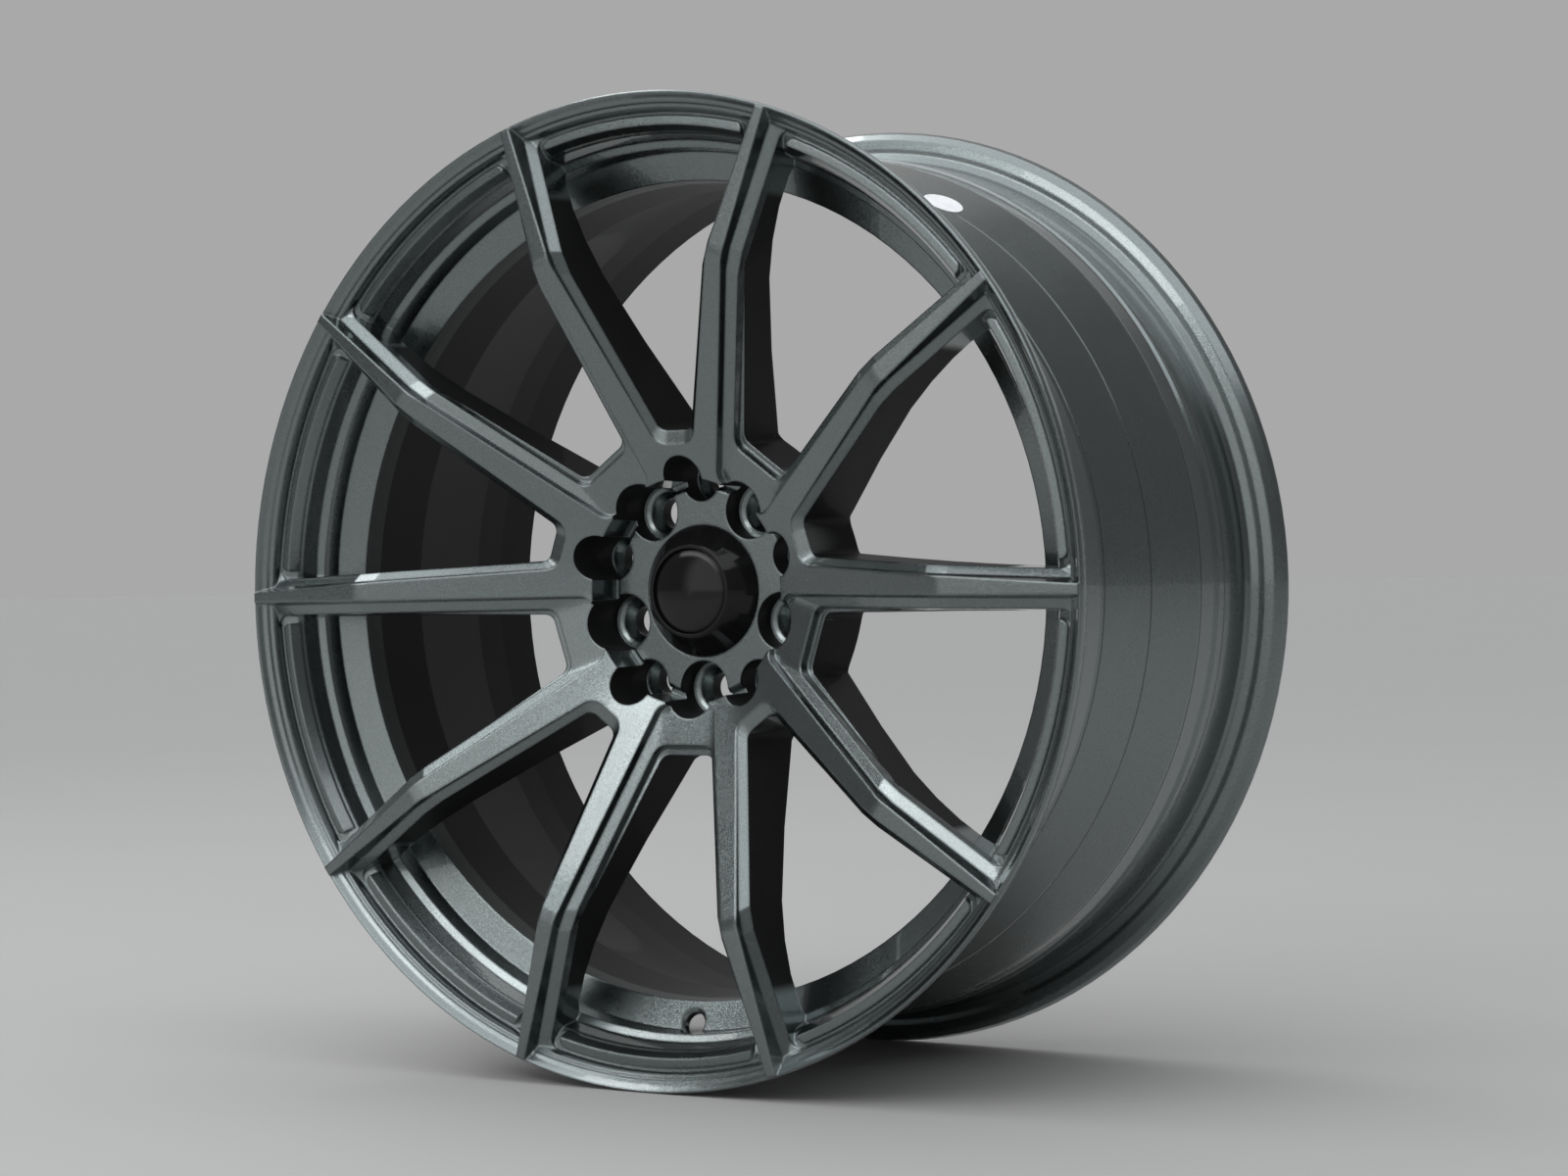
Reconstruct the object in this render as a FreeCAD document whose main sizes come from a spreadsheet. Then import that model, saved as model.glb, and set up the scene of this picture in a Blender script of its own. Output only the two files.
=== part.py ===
import FreeCAD, Part
import math
import os
import Sketcher
from FreeCAD import Placement, Rotation, Vector

os.makedirs("parts", exist_ok=True)
doc = FreeCAD.newDocument("alloy_wheel")
sheet = doc.addObject("Spreadsheet::Sheet", "sizes")

# Driving sizes in millimetres and degrees. "forward" is the distance from the middle plane of the
# rim towards the outboard side, and a negative value lies on the inboard side.
DRIVING = {
    # Rim, 8 inches wide on an 18 inch bead seat.
    "rim_half_width": 101.6,
    "seat_radius": 231.0,
    "flange_height": 17.5,
    "flange_curve": 9.5,
    "flange_reach": 14.0,
    "seat_length": 20.6,
    "seat_drop": 1.3,
    "hump_rise": 1.2,
    "hump_length": 3.0,
    "well_depth": 19.1,
    "well_wall_run": 8.0,
    "well_end_forward": 25.5,
    "cone_end_forward": -48.0,
    "crease_forward": -12.7,
    "crease_drop": 0.3,
    "cone_end_drop": 2.0,
    "rear_hump_forward": -63.0,
    "rear_hump_run": 9.0,
    "barrel_wall": 5.0,
    "web_wall_run": 5.8,
    "ledge_drop": 9.6,
    "ledge_step": 3.8,
    "ledge_setback": 13.1,
    "band_inner_inset": 19.2,
    "band_slope": 3.1,
    "band_reach": 4.9,
    "band_bevel": 5.1,
    "lip_groove_inset": 11.0,
    "lip_groove_reach": 3.7,
    "lip_rise": 10.3,
    # Hub.
    "offset_forward": 30.0,
    "hub_bore_radius": 36.55,
    "hub_bore_length": 12.0,
    "hook_room_length": 5.5,
    "hook_room_width": 4.0,
    "hub_chamfer": 1.5,
    "pad_radius": 78.0,
    "boss_height": 26.5,
    "boss_reach": 1.5,
    "boss_chamfer": 2.2,
    "groove_depth": 4.5,
    "groove_width": 2.8,
    "cap_ledge_width": 3.7,
    "cap_seat_depth": 3.0,
    "cap_bore_radius": 30.0,
    # Face of the spokes.
    "root_rise": 16.4,
    "knee_inset": 76.1,
    "knee_rise": 4.25,
    "knee_round": 20.0,
    "window_knee_round": 42.0,
    "tip_inset": 1.2,
    "tip_reach": 14.9,
    "back_a_drop": 53.75,
    "back_b_drop": 35.95,
    "back_c_drop": 30.45,
    "back_d_drop": 28.55,
    "back_e_drop": 29.95,
    "root_back_rise": 12.3,
    "root_back_run": 10.0,
    # Lug holes.
    "outer_circle_radius": 57.15,
    "inner_circle_radius": 50.0,
    "outer_bore_radius": 11.4,
    "inner_bore_radius": 14.5,
    "seat_face_height": 14.4,
    "seat_face_radius": 13.1,
    "seat_cone_radius": 10.9,
    "seat_cone_rise": 1.2,
    "bolt_hole_radius": 7.5,
    "seat_half_angle": 30.0,
    # Windows inside a pair of spokes.
    "pair_edge_angle": 15.8,
    "pair_step_knee": 2.5,
    "pair_tilt_in_ease": 0.46,
    "pair_tilt_out_ease": 4.7,
    "pair_half_knee": 46.3,
    "pair_slope_in": 0.3865,
    "pair_slope_out": 0.37,
    "pair_hub_run": 16.9,
    "pair_hub_corner": 9.0,
    "pair_hub_bevel": 7.0,
    "pair_bevel": 4.4,
    "pair_bevel_depth": 4.0,
    "pair_wall_inset": 0.2,
    "pair_step_draft": 18.0,
    # Windows between two pairs of spokes.
    "gap_edge_angle": 17.2,
    "gap_step_knee": 5.0,
    "gap_tilt_in_ease": 0.07,
    "gap_tilt_out_ease": 2.4,
    "gap_half_knee": 49.4,
    "gap_slope_in": 0.3152,
    "gap_slope_out": 0.311,
    "gap_hub_run": 0.4,
    "gap_hub_corner": 7.0,
    "gap_floor_run": 19.6,
    "gap_bevel": 5.56,
    "gap_bevel_depth": 2.7,
    "gap_wall_depth": 5.0,
    "gap_wall_inset": 0.6,
    "gap_wall_run": 2.4,
    "gap_ledge_hub": 3.0,
    "gap_ledge_depth": 0.6,
    "gap_ledge_slope": 0.03,
    "gap_step_draft": 12.0,
    # Both kinds of window.
    "step_reach": 30.0,
    "window_depth": 75.0,
    "window_draft": 2.5,
    "window_overlap": 3.0,
    "knee_clear": 0.25,
    "wall_lean": 0.03,
    "knee_reach": 7.5,
    "lip_corner": 5.0,
    "lip_frame_inset": 8.0,
    "lip_frame_run": 11.5,
    "band_end_gap": 4.3,
    "band_corner": 4.5,
    # Valve hole.
    "valve_hole_radius": 5.65,
    "valve_face_radius": 7.5,
    "valve_face_depth": 0.4,
    "valve_chamfer": 1.6,
    "valve_shift": 3.7,
    "valve_reach": 22.0,
    "valve_place": 0.72,
    "half_turn": 180.0,
    "zero": 0.0,
    # Cap and badge.
    "cap_gap": 0.25,
    "cap_edge": 0.8,
    "cap_rise": 12.9,
    "cap_ring_radius": 23.4,
    "cap_ring_width": 1.6,
    "cap_ring_round": 1.0,
    "cap_wall": 2.0,
    "cap_dish_depth": 2.0,
    "leg_gap": 0.6,
    "leg_wall": 2.0,
    "leg_hook": 1.6,
    "leg_tail": 2.6,
    "leg_angle": 24.0,
    "hook_gap": 0.2,
    "badge_gap": 0.2,
    "badge_edge": 1.0,
    "badge_crown": 2.6,
    # Sticker on the barrel.
    "sticker_thickness": 0.15,
    "sticker_forward": -17.0,
    "sticker_turn": 27.5,
    "sticker_half_length": 10.8,
    "sticker_half_width": 9.4,
    "sticker_skin_angle": 30.0,
    # Small offsets and shares that shape the profiles.
    "groove_slope_in": 0.5,
    "groove_slope_out": 0.6,
    "joint_f_reach": 0.5,
    "joint_f_rise": 1.2,
    "lip_crest_reach": 0.8,
    "hump_slope": 0.8,
    "wall_round": 2.0,
    "wall_top_drop": 1.7,
    "wall_foot_rise": 1.6,
    "rear_hump_slope": 2.5,
    "rear_hump_tail": 3.0,
    "rear_hump_extra": 0.3,
    "seat_fillet_run": 5.8,
    "seat_fillet_mid_run": 2.0,
    "seat_fillet_mid_rise": 1.6,
    "seat_fillet_rise": 5.2,
    "curve_foot_rise": 0.2,
    "curve_low_run_share": 0.16,
    "curve_low_drop_share": 0.48,
    "curve_high_run_share": 0.56,
    "curve_high_drop_share": 0.13,
    "rear_crest_setback": 0.4,
    "rear_round_setback": 1.9,
    "rear_edge_setback": 0.3,
    "rear_edge_drop": 3.3,
    "rear_under_setback": 1.0,
    "rear_under_drop": 7.0,
    "rear_turn_rise": 1.6,
    "rear_inner_setback": 1.6,
    "web_foot_rise": 0.3,
    "web_wall": 3.2,
    "ledge_slope": 0.8,
    "ledge_step_run": 2.0,
    "bed_a_setback": 2.4,
    "bed_a_drop": 0.9,
    "bed_b_reach": 0.1,
    "bed_b_rise": 0.9,
    "bed_c_setback": 3.1,
    "bed_c_rise": 1.6,
    "lip_groove_drop": 0.8,
    "lip_groove_in": 0.3,
    "lip_groove_out": 1.1,
    "lip_a_reach": 2.6,
    "lip_a_rise": 2.1,
    "band_root_setback": 4.4,
    "band_root_rise": 0.2,
    "band_edge_setback": 0.5,
    "band_edge_drop": 1.1,
    "band_side_setback": 1.2,
    "band_side_drop": 0.4,
    "band_sunk_setback": 3.5,
    "band_sunk_drop": 0.7,
    "band_heel_setback": 1.9,
    "band_heel_rise": 2.5,
    "band_plug_sink": 8.0,
    "band_plug_extra": 16.0,
    "band_plug_run": 24.0,
    "lip_b_reach": 4.5,
    "lip_b_rise": 3.0,
    "lip_c_reach": 4.9,
    "lip_c_rise": 4.6,
    "lip_d_reach": 6.2,
    "lip_d_rise": 5.3,
    "lip_e_reach": 7.5,
    "lip_e_rise": 7.3,
    "lip_f_setback": 0.9,
    "lip_f_drop": 1.9,
    "lip_g_drop": 0.9,
    "lip_h_setback": 1.0,
    "lip_h_drop": 0.1,
    "boss_chamfer_ease": 0.2,
    "pad_edge_rise": 3.0,
    "pad_edge_run": 2.5,
    "tip_thickness": 4.5,
    "back_a_inset": 42.4,
    "back_b_inset": 6.4,
    "back_c_reach": 12.6,
    "back_d_reach": 29.6,
    "back_e_gap": 4.4,
    "joint_a_reach": 2.7,
    "joint_a_drop": 3.5,
    "joint_b_reach": 2.9,
    "joint_b_drop": 8.5,
    "joint_c_reach": 1.4,
    "joint_c_rise": 3.0,
    "joint_d_setback": 5.6,
    "joint_d_drop": 1.7,
    "joint_e_setback": 0.5,
    "joint_e_rise": 2.6,
    "lug_clear_above": 25.0,
    "lug_clear_below": 5.0,
    "leg_root_rise": 2.4,
    "under_inner_gap": 0.8,
    "under_top_gap": 1.2,
    "hook_thickness": 0.6,
    "sticker_punch_extra": 12.0,
    "pair_corner_top": 1.5,
    "pair_corner_bevel": 0.6,
    "pair_corner_back": 0.45,
    "gap_corner_wall": 0.95,
    "gap_corner_ledge": 0.8,
    "gap_corner_back": 0.6,
    "lip_corner_top": 1.4,
    "lip_corner_edge": 1.2,
    "lip_corner_back": 0.8,
    "lip_wall_lean": 0.3,
}

# Sizes that follow from the driving ones.
DERIVED = {
    "flange_radius": "seat_radius + flange_height",
    "band_inner_radius": "flange_radius - band_inner_inset",
    "band_radius": "band_inner_radius + band_slope",
    "band_forward": "rim_half_width + band_reach",
    "lip_groove_radius": "flange_radius - lip_groove_inset",
    "lip_groove_forward": "rim_half_width + lip_groove_reach",
    "lip_frame_radius": "flange_radius - lip_frame_inset",
    "ledge_forward": "rim_half_width - ledge_setback",
    "tip_forward": "rim_half_width + tip_reach",
    "knee_radius": "flange_radius - knee_inset",
    "knee_forward": "tip_forward + knee_rise",
    "boss_forward": "offset_forward + boss_height",
    "boss_radius": "inner_circle_radius + boss_reach",
    "root_forward": "boss_forward + root_rise",
    "root_back_forward": "offset_forward + root_back_rise",
    "root_back_radius": "pad_radius + root_back_run",
    "seat_face_forward": "offset_forward + seat_face_height",
    "hook_room_radius": "cap_bore_radius + hook_room_width",
    "cap_seat_radius": "cap_bore_radius + cap_ledge_width",
    "crest_forward": "rim_half_width + flange_curve + lip_crest_reach",
    "lip_front": "lip_groove_forward + lip_rise",
    "well_radius": "seat_radius - well_depth",
    "seat_end_forward": "rim_half_width - seat_length",
    "seat_end_radius": "seat_radius - seat_drop",
    "hump_forward": "seat_end_forward - hump_slope",
    "hump_radius": "seat_radius - seat_drop + hump_rise",
    "hump_end_forward": "hump_forward - hump_length",
    "wall_top_forward": "hump_end_forward - wall_round",
    "wall_top_radius": "seat_radius - wall_top_drop",
    "well_start_forward": "wall_top_forward - well_wall_run",
    "wall_foot_forward": "well_start_forward + wall_round",
    "wall_foot_radius": "well_radius + wall_foot_rise",
    "cone_end_radius": "seat_radius - cone_end_drop",
    "crease_share": "(well_end_forward - crease_forward) / (well_end_forward - cone_end_forward)",
    "crease_radius": "well_radius + (cone_end_radius - well_radius) * crease_share - crease_drop",
    "rear_hump_top": "rear_hump_forward - rear_hump_slope",
    "rear_hump_end": "rear_hump_forward - rear_hump_run",
    "rear_seat_forward": "rear_hump_end - rear_hump_tail",
    "rear_hump_radius": "hump_radius + rear_hump_extra",
    "fillet_low_forward": "rim_half_width - seat_fillet_run",
    "fillet_mid_forward": "rim_half_width - seat_fillet_mid_run",
    "fillet_mid_radius": "seat_radius + seat_fillet_mid_rise",
    "fillet_top_radius": "seat_radius + seat_fillet_rise",
    "curve_foot_radius": "flange_radius - flange_curve + curve_foot_rise",
    "curve_low_forward": "rim_half_width + flange_curve * curve_low_run_share",
    "curve_low_radius": "flange_radius - flange_curve * curve_low_drop_share",
    "curve_high_forward": "rim_half_width + flange_curve * curve_high_run_share",
    "curve_high_radius": "flange_radius - flange_curve * curve_high_drop_share",
    "rear_crest_forward": "-(rim_half_width + flange_curve - rear_crest_setback)",
    "rear_round_forward": "-(rim_half_width + flange_reach - rear_round_setback)",
    "rear_edge_forward": "-(rim_half_width + flange_reach - rear_edge_setback)",
    "rear_edge_radius": "flange_radius - rear_edge_drop",
    "rear_under_forward": "-(rim_half_width + flange_reach - rear_under_setback)",
    "rear_under_radius": "flange_radius - rear_under_drop",
    "rear_turn_forward": "-(rim_half_width + barrel_wall)",
    "rear_turn_radius": "seat_radius + rear_turn_rise",
    "rear_inner_forward": "-rim_half_width + rear_inner_setback",
    "inner_seat_radius": "seat_radius - barrel_wall",
    "inner_cone_radius": "cone_end_radius - barrel_wall",
    "inner_well_radius": "well_radius - barrel_wall",
    "web_foot_radius": "inner_well_radius + web_foot_rise",
    "web_foot_forward": "wall_foot_forward + web_wall",
    "web_top_forward": "web_foot_forward + web_wall_run",
    "web_top_radius": "seat_radius - ledge_drop",
    "ledge_radius": "web_top_radius + ledge_slope",
    "ledge_top_forward": "ledge_forward + ledge_step_run",
    "ledge_top_radius": "ledge_radius + ledge_step",
    "band_foot_forward": "band_forward - band_bevel",
    "bed_a_forward": "band_foot_forward - bed_a_setback",
    "bed_a_radius": "band_inner_radius - bed_a_drop",
    "bed_b_forward": "band_foot_forward + bed_b_reach",
    "bed_b_radius": "band_inner_radius + bed_b_rise",
    "bed_c_forward": "band_forward - bed_c_setback",
    "bed_c_radius": "band_radius + bed_c_rise",
    "groove_floor_forward": "lip_groove_forward - lip_groove_drop",
    "groove_in_radius": "lip_groove_radius - lip_groove_in",
    "groove_out_radius": "lip_groove_radius + lip_groove_out",
    "lip_a_forward": "lip_groove_forward + lip_a_reach",
    "lip_a_radius": "lip_groove_radius + lip_a_rise",
    "band_root_forward": "band_foot_forward - band_root_setback",
    "band_root_radius": "band_inner_radius + band_root_rise",
    "band_edge_forward": "band_forward - band_edge_setback",
    "band_edge_radius": "lip_groove_radius - band_edge_drop",
    "band_side_forward": "band_forward - band_side_setback",
    "band_side_radius": "lip_groove_radius - band_side_drop",
    "band_sunk_forward": "band_forward - band_sunk_setback",
    "band_sunk_radius": "lip_groove_radius - band_sunk_drop",
    "band_heel_forward": "band_foot_forward - band_heel_setback",
    "band_heel_radius": "band_inner_radius + band_heel_rise",
    "band_plug_level": "band_foot_forward - band_plug_sink",
    "band_plug_height": "band_bevel + band_plug_extra",
    "band_plug_start": "band_inner_radius - band_plug_run",
    "lip_b_forward": "lip_groove_forward + lip_b_reach",
    "lip_b_radius": "lip_groove_radius + lip_b_rise",
    "lip_c_forward": "lip_groove_forward + lip_c_reach",
    "lip_c_radius": "lip_groove_radius + lip_c_rise",
    "lip_d_forward": "lip_groove_forward + lip_d_reach",
    "lip_d_radius": "lip_groove_radius + lip_d_rise",
    "lip_e_forward": "lip_groove_forward + lip_e_reach",
    "lip_e_radius": "lip_groove_radius + lip_e_rise",
    "lip_f_forward": "lip_front - lip_f_setback",
    "lip_f_radius": "flange_radius - lip_f_drop",
    "lip_g_radius": "flange_radius - lip_g_drop",
    "lip_h_forward": "lip_front - lip_h_setback",
    "lip_h_radius": "flange_radius - lip_h_drop",
    "boss_edge_radius": "boss_radius + boss_chamfer",
    "boss_edge_forward": "boss_forward - boss_chamfer + boss_chamfer_ease",
    "groove_forward": "boss_forward - groove_depth",
    "groove_inner_radius": "boss_edge_radius + groove_slope_in",
    "groove_outer_radius": "groove_inner_radius + groove_width",
    "root_radius": "groove_outer_radius + groove_slope_out",
    "pair_hub_end": "root_radius + pair_hub_run",
    "gap_hub_end": "root_radius + gap_hub_run",
    "cap_seat_forward": "boss_forward - cap_seat_depth",
    "spigot_end_forward": "offset_forward + hub_bore_length",
    "bore_end_forward": "spigot_end_forward + hook_room_length",
    "bore_mouth_forward": "offset_forward + hub_chamfer",
    "bore_mouth_radius": "hub_bore_radius + hub_chamfer",
    "pad_edge_forward": "offset_forward + pad_edge_rise",
    "pad_edge_radius": "pad_radius + pad_edge_run",
    "tip_radius": "flange_radius - tip_inset",
    "tip_back_forward": "tip_forward - tip_thickness",
    "back_a_forward": "knee_forward - back_a_drop",
    "back_a_radius": "knee_radius - back_a_inset",
    "back_b_forward": "knee_forward - back_b_drop",
    "back_b_radius": "knee_radius - back_b_inset",
    "back_c_forward": "knee_forward - back_c_drop",
    "back_c_radius": "knee_radius + back_c_reach",
    "back_d_forward": "knee_forward - back_d_drop",
    "back_d_radius": "knee_radius + back_d_reach",
    "back_e_forward": "knee_forward - back_e_drop",
    "back_e_radius": "web_top_radius - back_e_gap",
    "joint_a_forward": "lip_groove_forward + joint_a_reach",
    "joint_a_radius": "flange_radius - joint_a_drop",
    "joint_b_forward": "rim_half_width + joint_b_reach",
    "joint_b_radius": "flange_radius - joint_b_drop",
    "joint_c_forward": "rim_half_width + joint_c_reach",
    "joint_c_radius": "seat_radius + joint_c_rise",
    "joint_d_forward": "rim_half_width - joint_d_setback",
    "joint_d_radius": "seat_radius - joint_d_drop",
    "joint_f_forward": "ledge_forward + joint_f_reach",
    "joint_f_radius": "ledge_top_radius + joint_f_rise",
    "joint_e_forward": "ledge_forward - joint_e_setback",
    "joint_e_radius": "web_top_radius + joint_e_rise",
    "seat_cone_forward": "seat_face_forward - seat_cone_rise",
    "bolt_start_forward": "seat_cone_forward - (seat_cone_radius - bolt_hole_radius) / tan(seat_half_angle)",
    "lug_top_forward": "root_forward + lug_clear_above",
    "lug_bottom_forward": "offset_forward - lug_clear_below",
    "valve_tilt": "atan(web_wall_run / (web_top_radius - web_foot_radius)) / 1 deg",
    "valve_turn": "-valve_tilt",
    "valve_start": "-valve_reach / 2",
    "valve_bore_start": "valve_face_depth + valve_chamfer",
    "valve_forward": "web_foot_forward + web_wall_run * valve_place",
    "valve_radius": "web_foot_radius + (web_top_radius - web_foot_radius) * valve_place",
    "cap_outer_radius": "cap_seat_radius - cap_gap",
    "cap_edge_forward": "boss_forward + cap_edge",
    "cap_top_forward": "boss_forward + cap_rise",
    "cap_shoulder_forward": "cap_top_forward - cap_ring_round",
    "cap_shoulder_radius": "cap_ring_radius + cap_ring_round",
    "cap_ring_inner": "cap_ring_radius - cap_ring_width",
    "dish_forward": "cap_top_forward - cap_dish_depth",
    "dish_under_forward": "dish_forward - cap_wall",
    "leg_outer_radius": "cap_bore_radius - leg_gap",
    "leg_inner_radius": "leg_outer_radius - leg_wall",
    "leg_root_forward": "cap_seat_forward + leg_root_rise",
    "under_inner_radius": "leg_inner_radius - under_inner_gap",
    "under_top_radius": "cap_ring_inner - under_top_gap",
    "hook_forward": "bore_end_forward - hook_gap",
    "hook_low_forward": "hook_forward - hook_thickness",
    "hook_radius": "leg_outer_radius + leg_hook",
    "leg_end_forward": "hook_forward - leg_tail",
    "badge_radius": "cap_ring_inner - badge_gap",
    "badge_edge_forward": "dish_forward + badge_edge",
    "badge_crown_forward": "badge_edge_forward + badge_crown",
    "badge_sphere": "(badge_radius ^ 2 + badge_crown ^ 2) / (2 * badge_crown)",
    "badge_centre_forward": "badge_crown_forward - badge_sphere",
    "sticker_skin_well": "well_radius + sticker_thickness",
    "sticker_skin_crease": "crease_radius + sticker_thickness",
    "sticker_skin_end": "cone_end_radius + sticker_thickness",
    "sticker_rise": "cone_end_radius + sticker_punch_extra",
    "sticker_length": "sticker_half_length * 2",
    "sticker_width": "sticker_half_width * 2",
    "face_slope_in": "(knee_forward - root_forward) / (knee_radius - root_radius)",
    "face_slope_out": "(knee_forward - tip_forward) / (tip_radius - knee_radius)",
}

for kind in ("pair", "gap"):
    DERIVED[kind + "_knee"] = f"knee_radius * cos({kind}_edge_angle)"
    DERIVED[kind + "_floor"] = f"knee_forward - {kind}_step_knee"
    DERIVED[kind + "_tilt_in"] = (
        f"atan(face_slope_in / cos({kind}_edge_angle)) / 1 deg - {kind}_tilt_in_ease"
    )
    DERIVED[kind + "_tilt_out"] = (
        f"-atan(face_slope_out / cos({kind}_edge_angle)) / 1 deg - {kind}_tilt_out_ease"
    )
    DERIVED[kind + "_knee_tilt"] = f"({kind}_tilt_in + {kind}_tilt_out) / 2"
    DERIVED[kind + "_knee_sag"] = (
        f"window_knee_round * (1 / cos(({kind}_tilt_in - {kind}_tilt_out) / 2) - 1)"
    )
    DERIVED[kind + "_spread"] = f"step_reach * tan({kind}_step_draft)"
DERIVED["window_spread"] = "window_depth * tan(window_draft)"

# Sections of each window from its open top to its back: depth under the floor of the step, how far
# the side stands in from the edge of the step, where the rounded end lies, and its corner radius.
HUB_SECTIONS = {
    "pair": [
        ("-step_reach", "-pair_spread", "pair_hub_end - pair_spread", "pair_hub_corner * pair_corner_top"),
        ("0", "0", "pair_hub_end", "pair_hub_corner"),
        ("pair_bevel_depth", "pair_bevel", "pair_hub_end + pair_hub_bevel",
         "pair_hub_corner * pair_corner_bevel"),
        ("window_depth", "pair_bevel + window_spread", "pair_hub_end + pair_hub_bevel + window_spread",
         "pair_hub_corner * pair_corner_back"),
    ],
    "gap": [
        ("-step_reach", "-gap_spread", "gap_hub_end - gap_spread", "gap_hub_corner"),
        ("0", "0", "gap_hub_end", "gap_hub_corner"),
        ("gap_bevel_depth", "gap_bevel", "gap_hub_end + gap_floor_run", "gap_hub_corner"),
        ("gap_bevel_depth + gap_wall_depth", "gap_bevel + gap_wall_inset + wall_lean",
         "gap_hub_end + gap_floor_run + gap_wall_run", "gap_hub_corner * gap_corner_wall"),
        ("gap_bevel_depth + gap_wall_depth + gap_ledge_depth", "gap_bevel + gap_wall_inset",
         "gap_hub_end + gap_floor_run + gap_wall_run + gap_ledge_hub", "gap_hub_corner * gap_corner_ledge"),
        ("window_depth", "gap_bevel + gap_wall_inset + window_spread",
         "gap_hub_end + gap_floor_run + gap_wall_run + gap_ledge_hub + window_spread",
         "gap_hub_corner * gap_corner_back"),
    ],
}
LEDGE_SECTION = 4
BEVEL_SECTION = 2
LIP_SECTIONS = {
    kind: [
        ("-step_reach", f"-{kind}_spread", f"lip_frame_radius + lip_frame_run + {kind}_spread",
         "lip_corner * lip_corner_top"),
        ("0", "0", "lip_frame_radius + lip_frame_run", "lip_corner * lip_corner_edge"),
        (f"{kind}_bevel_depth", f"{kind}_bevel", "lip_frame_radius", "lip_corner"),
        (f"{kind}_bevel_depth + gap_wall_depth", f"{kind}_bevel + {kind}_wall_inset",
         "lip_frame_radius - lip_wall_lean", "lip_corner"),
        ("window_depth", f"{kind}_bevel + {kind}_wall_inset + window_spread",
         "lip_frame_radius - window_spread", "lip_corner * lip_corner_back"),
    ]
    for kind in ("pair", "gap")
}

for kind, rows in HUB_SECTIONS.items():
    for number, (depth, inset, end, corner) in enumerate(rows):
        key = f"{kind}_hub{number}_"
        ledge = "gap_ledge_slope" if kind == "gap" and number == LEDGE_SECTION else "0"
        DERIVED[key + "level"] = f"{kind}_floor - ({depth})"
        DERIVED[key + "end"] = f"({end} - {kind}_knee) / cos({kind}_tilt_in)"
        DERIVED[key + "far"] = f"window_overlap / cos({kind}_tilt_in)"
        DERIVED[key + "end_half"] = (
            f"{kind}_half_knee - ({inset}) + ({end} - {kind}_knee) * {kind}_slope_in"
            f" + ({end} - {kind}_knee) * {ledge}"
        )
        DERIVED[key + "far_half"] = (
            f"{kind}_half_knee - ({inset}) + window_overlap * ({kind}_slope_in + {ledge})"
        )
        DERIVED[key + "corner"] = corner
for kind, rows in LIP_SECTIONS.items():
    for number, (depth, inset, end, corner) in enumerate(rows):
        key = f"{kind}_lip{number}_"
        DERIVED[key + "level"] = f"{kind}_floor - ({depth})"
        DERIVED[key + "near"] = f"-window_overlap / cos({kind}_tilt_out)"
        DERIVED[key + "near_half"] = f"{kind}_half_knee - ({inset}) - window_overlap * {kind}_slope_out"
        DERIVED[key + "guide"] = f"({end} - {kind}_knee) / cos({kind}_tilt_out)"
        DERIVED[key + "guide_half"] = (
            f"{kind}_half_knee - ({inset}) + ({end} - {kind}_knee) * {kind}_slope_out"
        )
        DERIVED[key + "centre"] = f"-{kind}_knee / cos({kind}_tilt_out)"
        DERIVED[key + "arc"] = end
        DERIVED[key + "corner"] = corner

for kind, rows in LIP_SECTIONS.items():
    for number, (depth, inset, end, corner) in enumerate(rows):
        key = f"{kind}_knee{number}_"
        inset = f"{inset} + knee_clear" if number > BEVEL_SECTION else inset
        DERIVED[key + "level"] = f"{kind}_floor - {kind}_knee_sag - ({depth})"
        DERIVED[key + "reach"] = f"knee_reach / cos({kind}_knee_tilt)"
        DERIVED[key + "near_half"] = f"{kind}_half_knee - ({inset}) - knee_reach * {kind}_slope_in"
        DERIVED[key + "far_half"] = f"{kind}_half_knee - ({inset}) + knee_reach * {kind}_slope_out"

for kind in ("pair", "gap"):
    key = f"{kind}_band_"
    inset = f"{kind}_bevel + {kind}_wall_inset + band_end_gap"
    DERIVED[key + "near"] = f"band_plug_start - {kind}_knee"
    DERIVED[key + "near_half"] = (
        f"{kind}_half_knee - ({inset}) + (band_plug_start - {kind}_knee) * {kind}_slope_out"
    )
    DERIVED[key + "guide"] = f"lip_groove_radius - {kind}_knee"
    DERIVED[key + "guide_half"] = (
        f"{kind}_half_knee - ({inset}) + (lip_groove_radius - {kind}_knee) * {kind}_slope_out"
    )
    DERIVED[key + "centre"] = f"-{kind}_knee"
    DERIVED[key + "arc"] = "groove_in_radius"
    DERIVED[key + "corner"] = "band_corner"

row = 0
for alias, value in DRIVING.items():
    row += 1
    sheet.set(f"A{row}", alias)
    sheet.set(f"B{row}", str(value))
    sheet.setAlias(f"B{row}", alias)
for alias, formula in DERIVED.items():
    row += 1
    sheet.set(f"A{row}", alias)
    sheet.setAlias(f"B{row}", alias)
    sheet.set(f"B{row}", "=" + formula)
doc.recompute()


def size(alias):
    """Value of a sheet cell; a leading minus turns its sign."""
    sign = -1.0 if alias.startswith("-") else 1.0
    return sign * float(sheet.get(alias.lstrip("-")))


def cell(alias):
    """Expression that reads a sheet cell; a leading minus turns its sign."""
    return "-sizes." + alias[1:] if alias.startswith("-") else "sizes." + alias


def plane(body, role):
    """Origin plane or axis of a body."""
    return next(item for item in body.Origin.OriginFeatures if item.Role == role)


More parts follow.
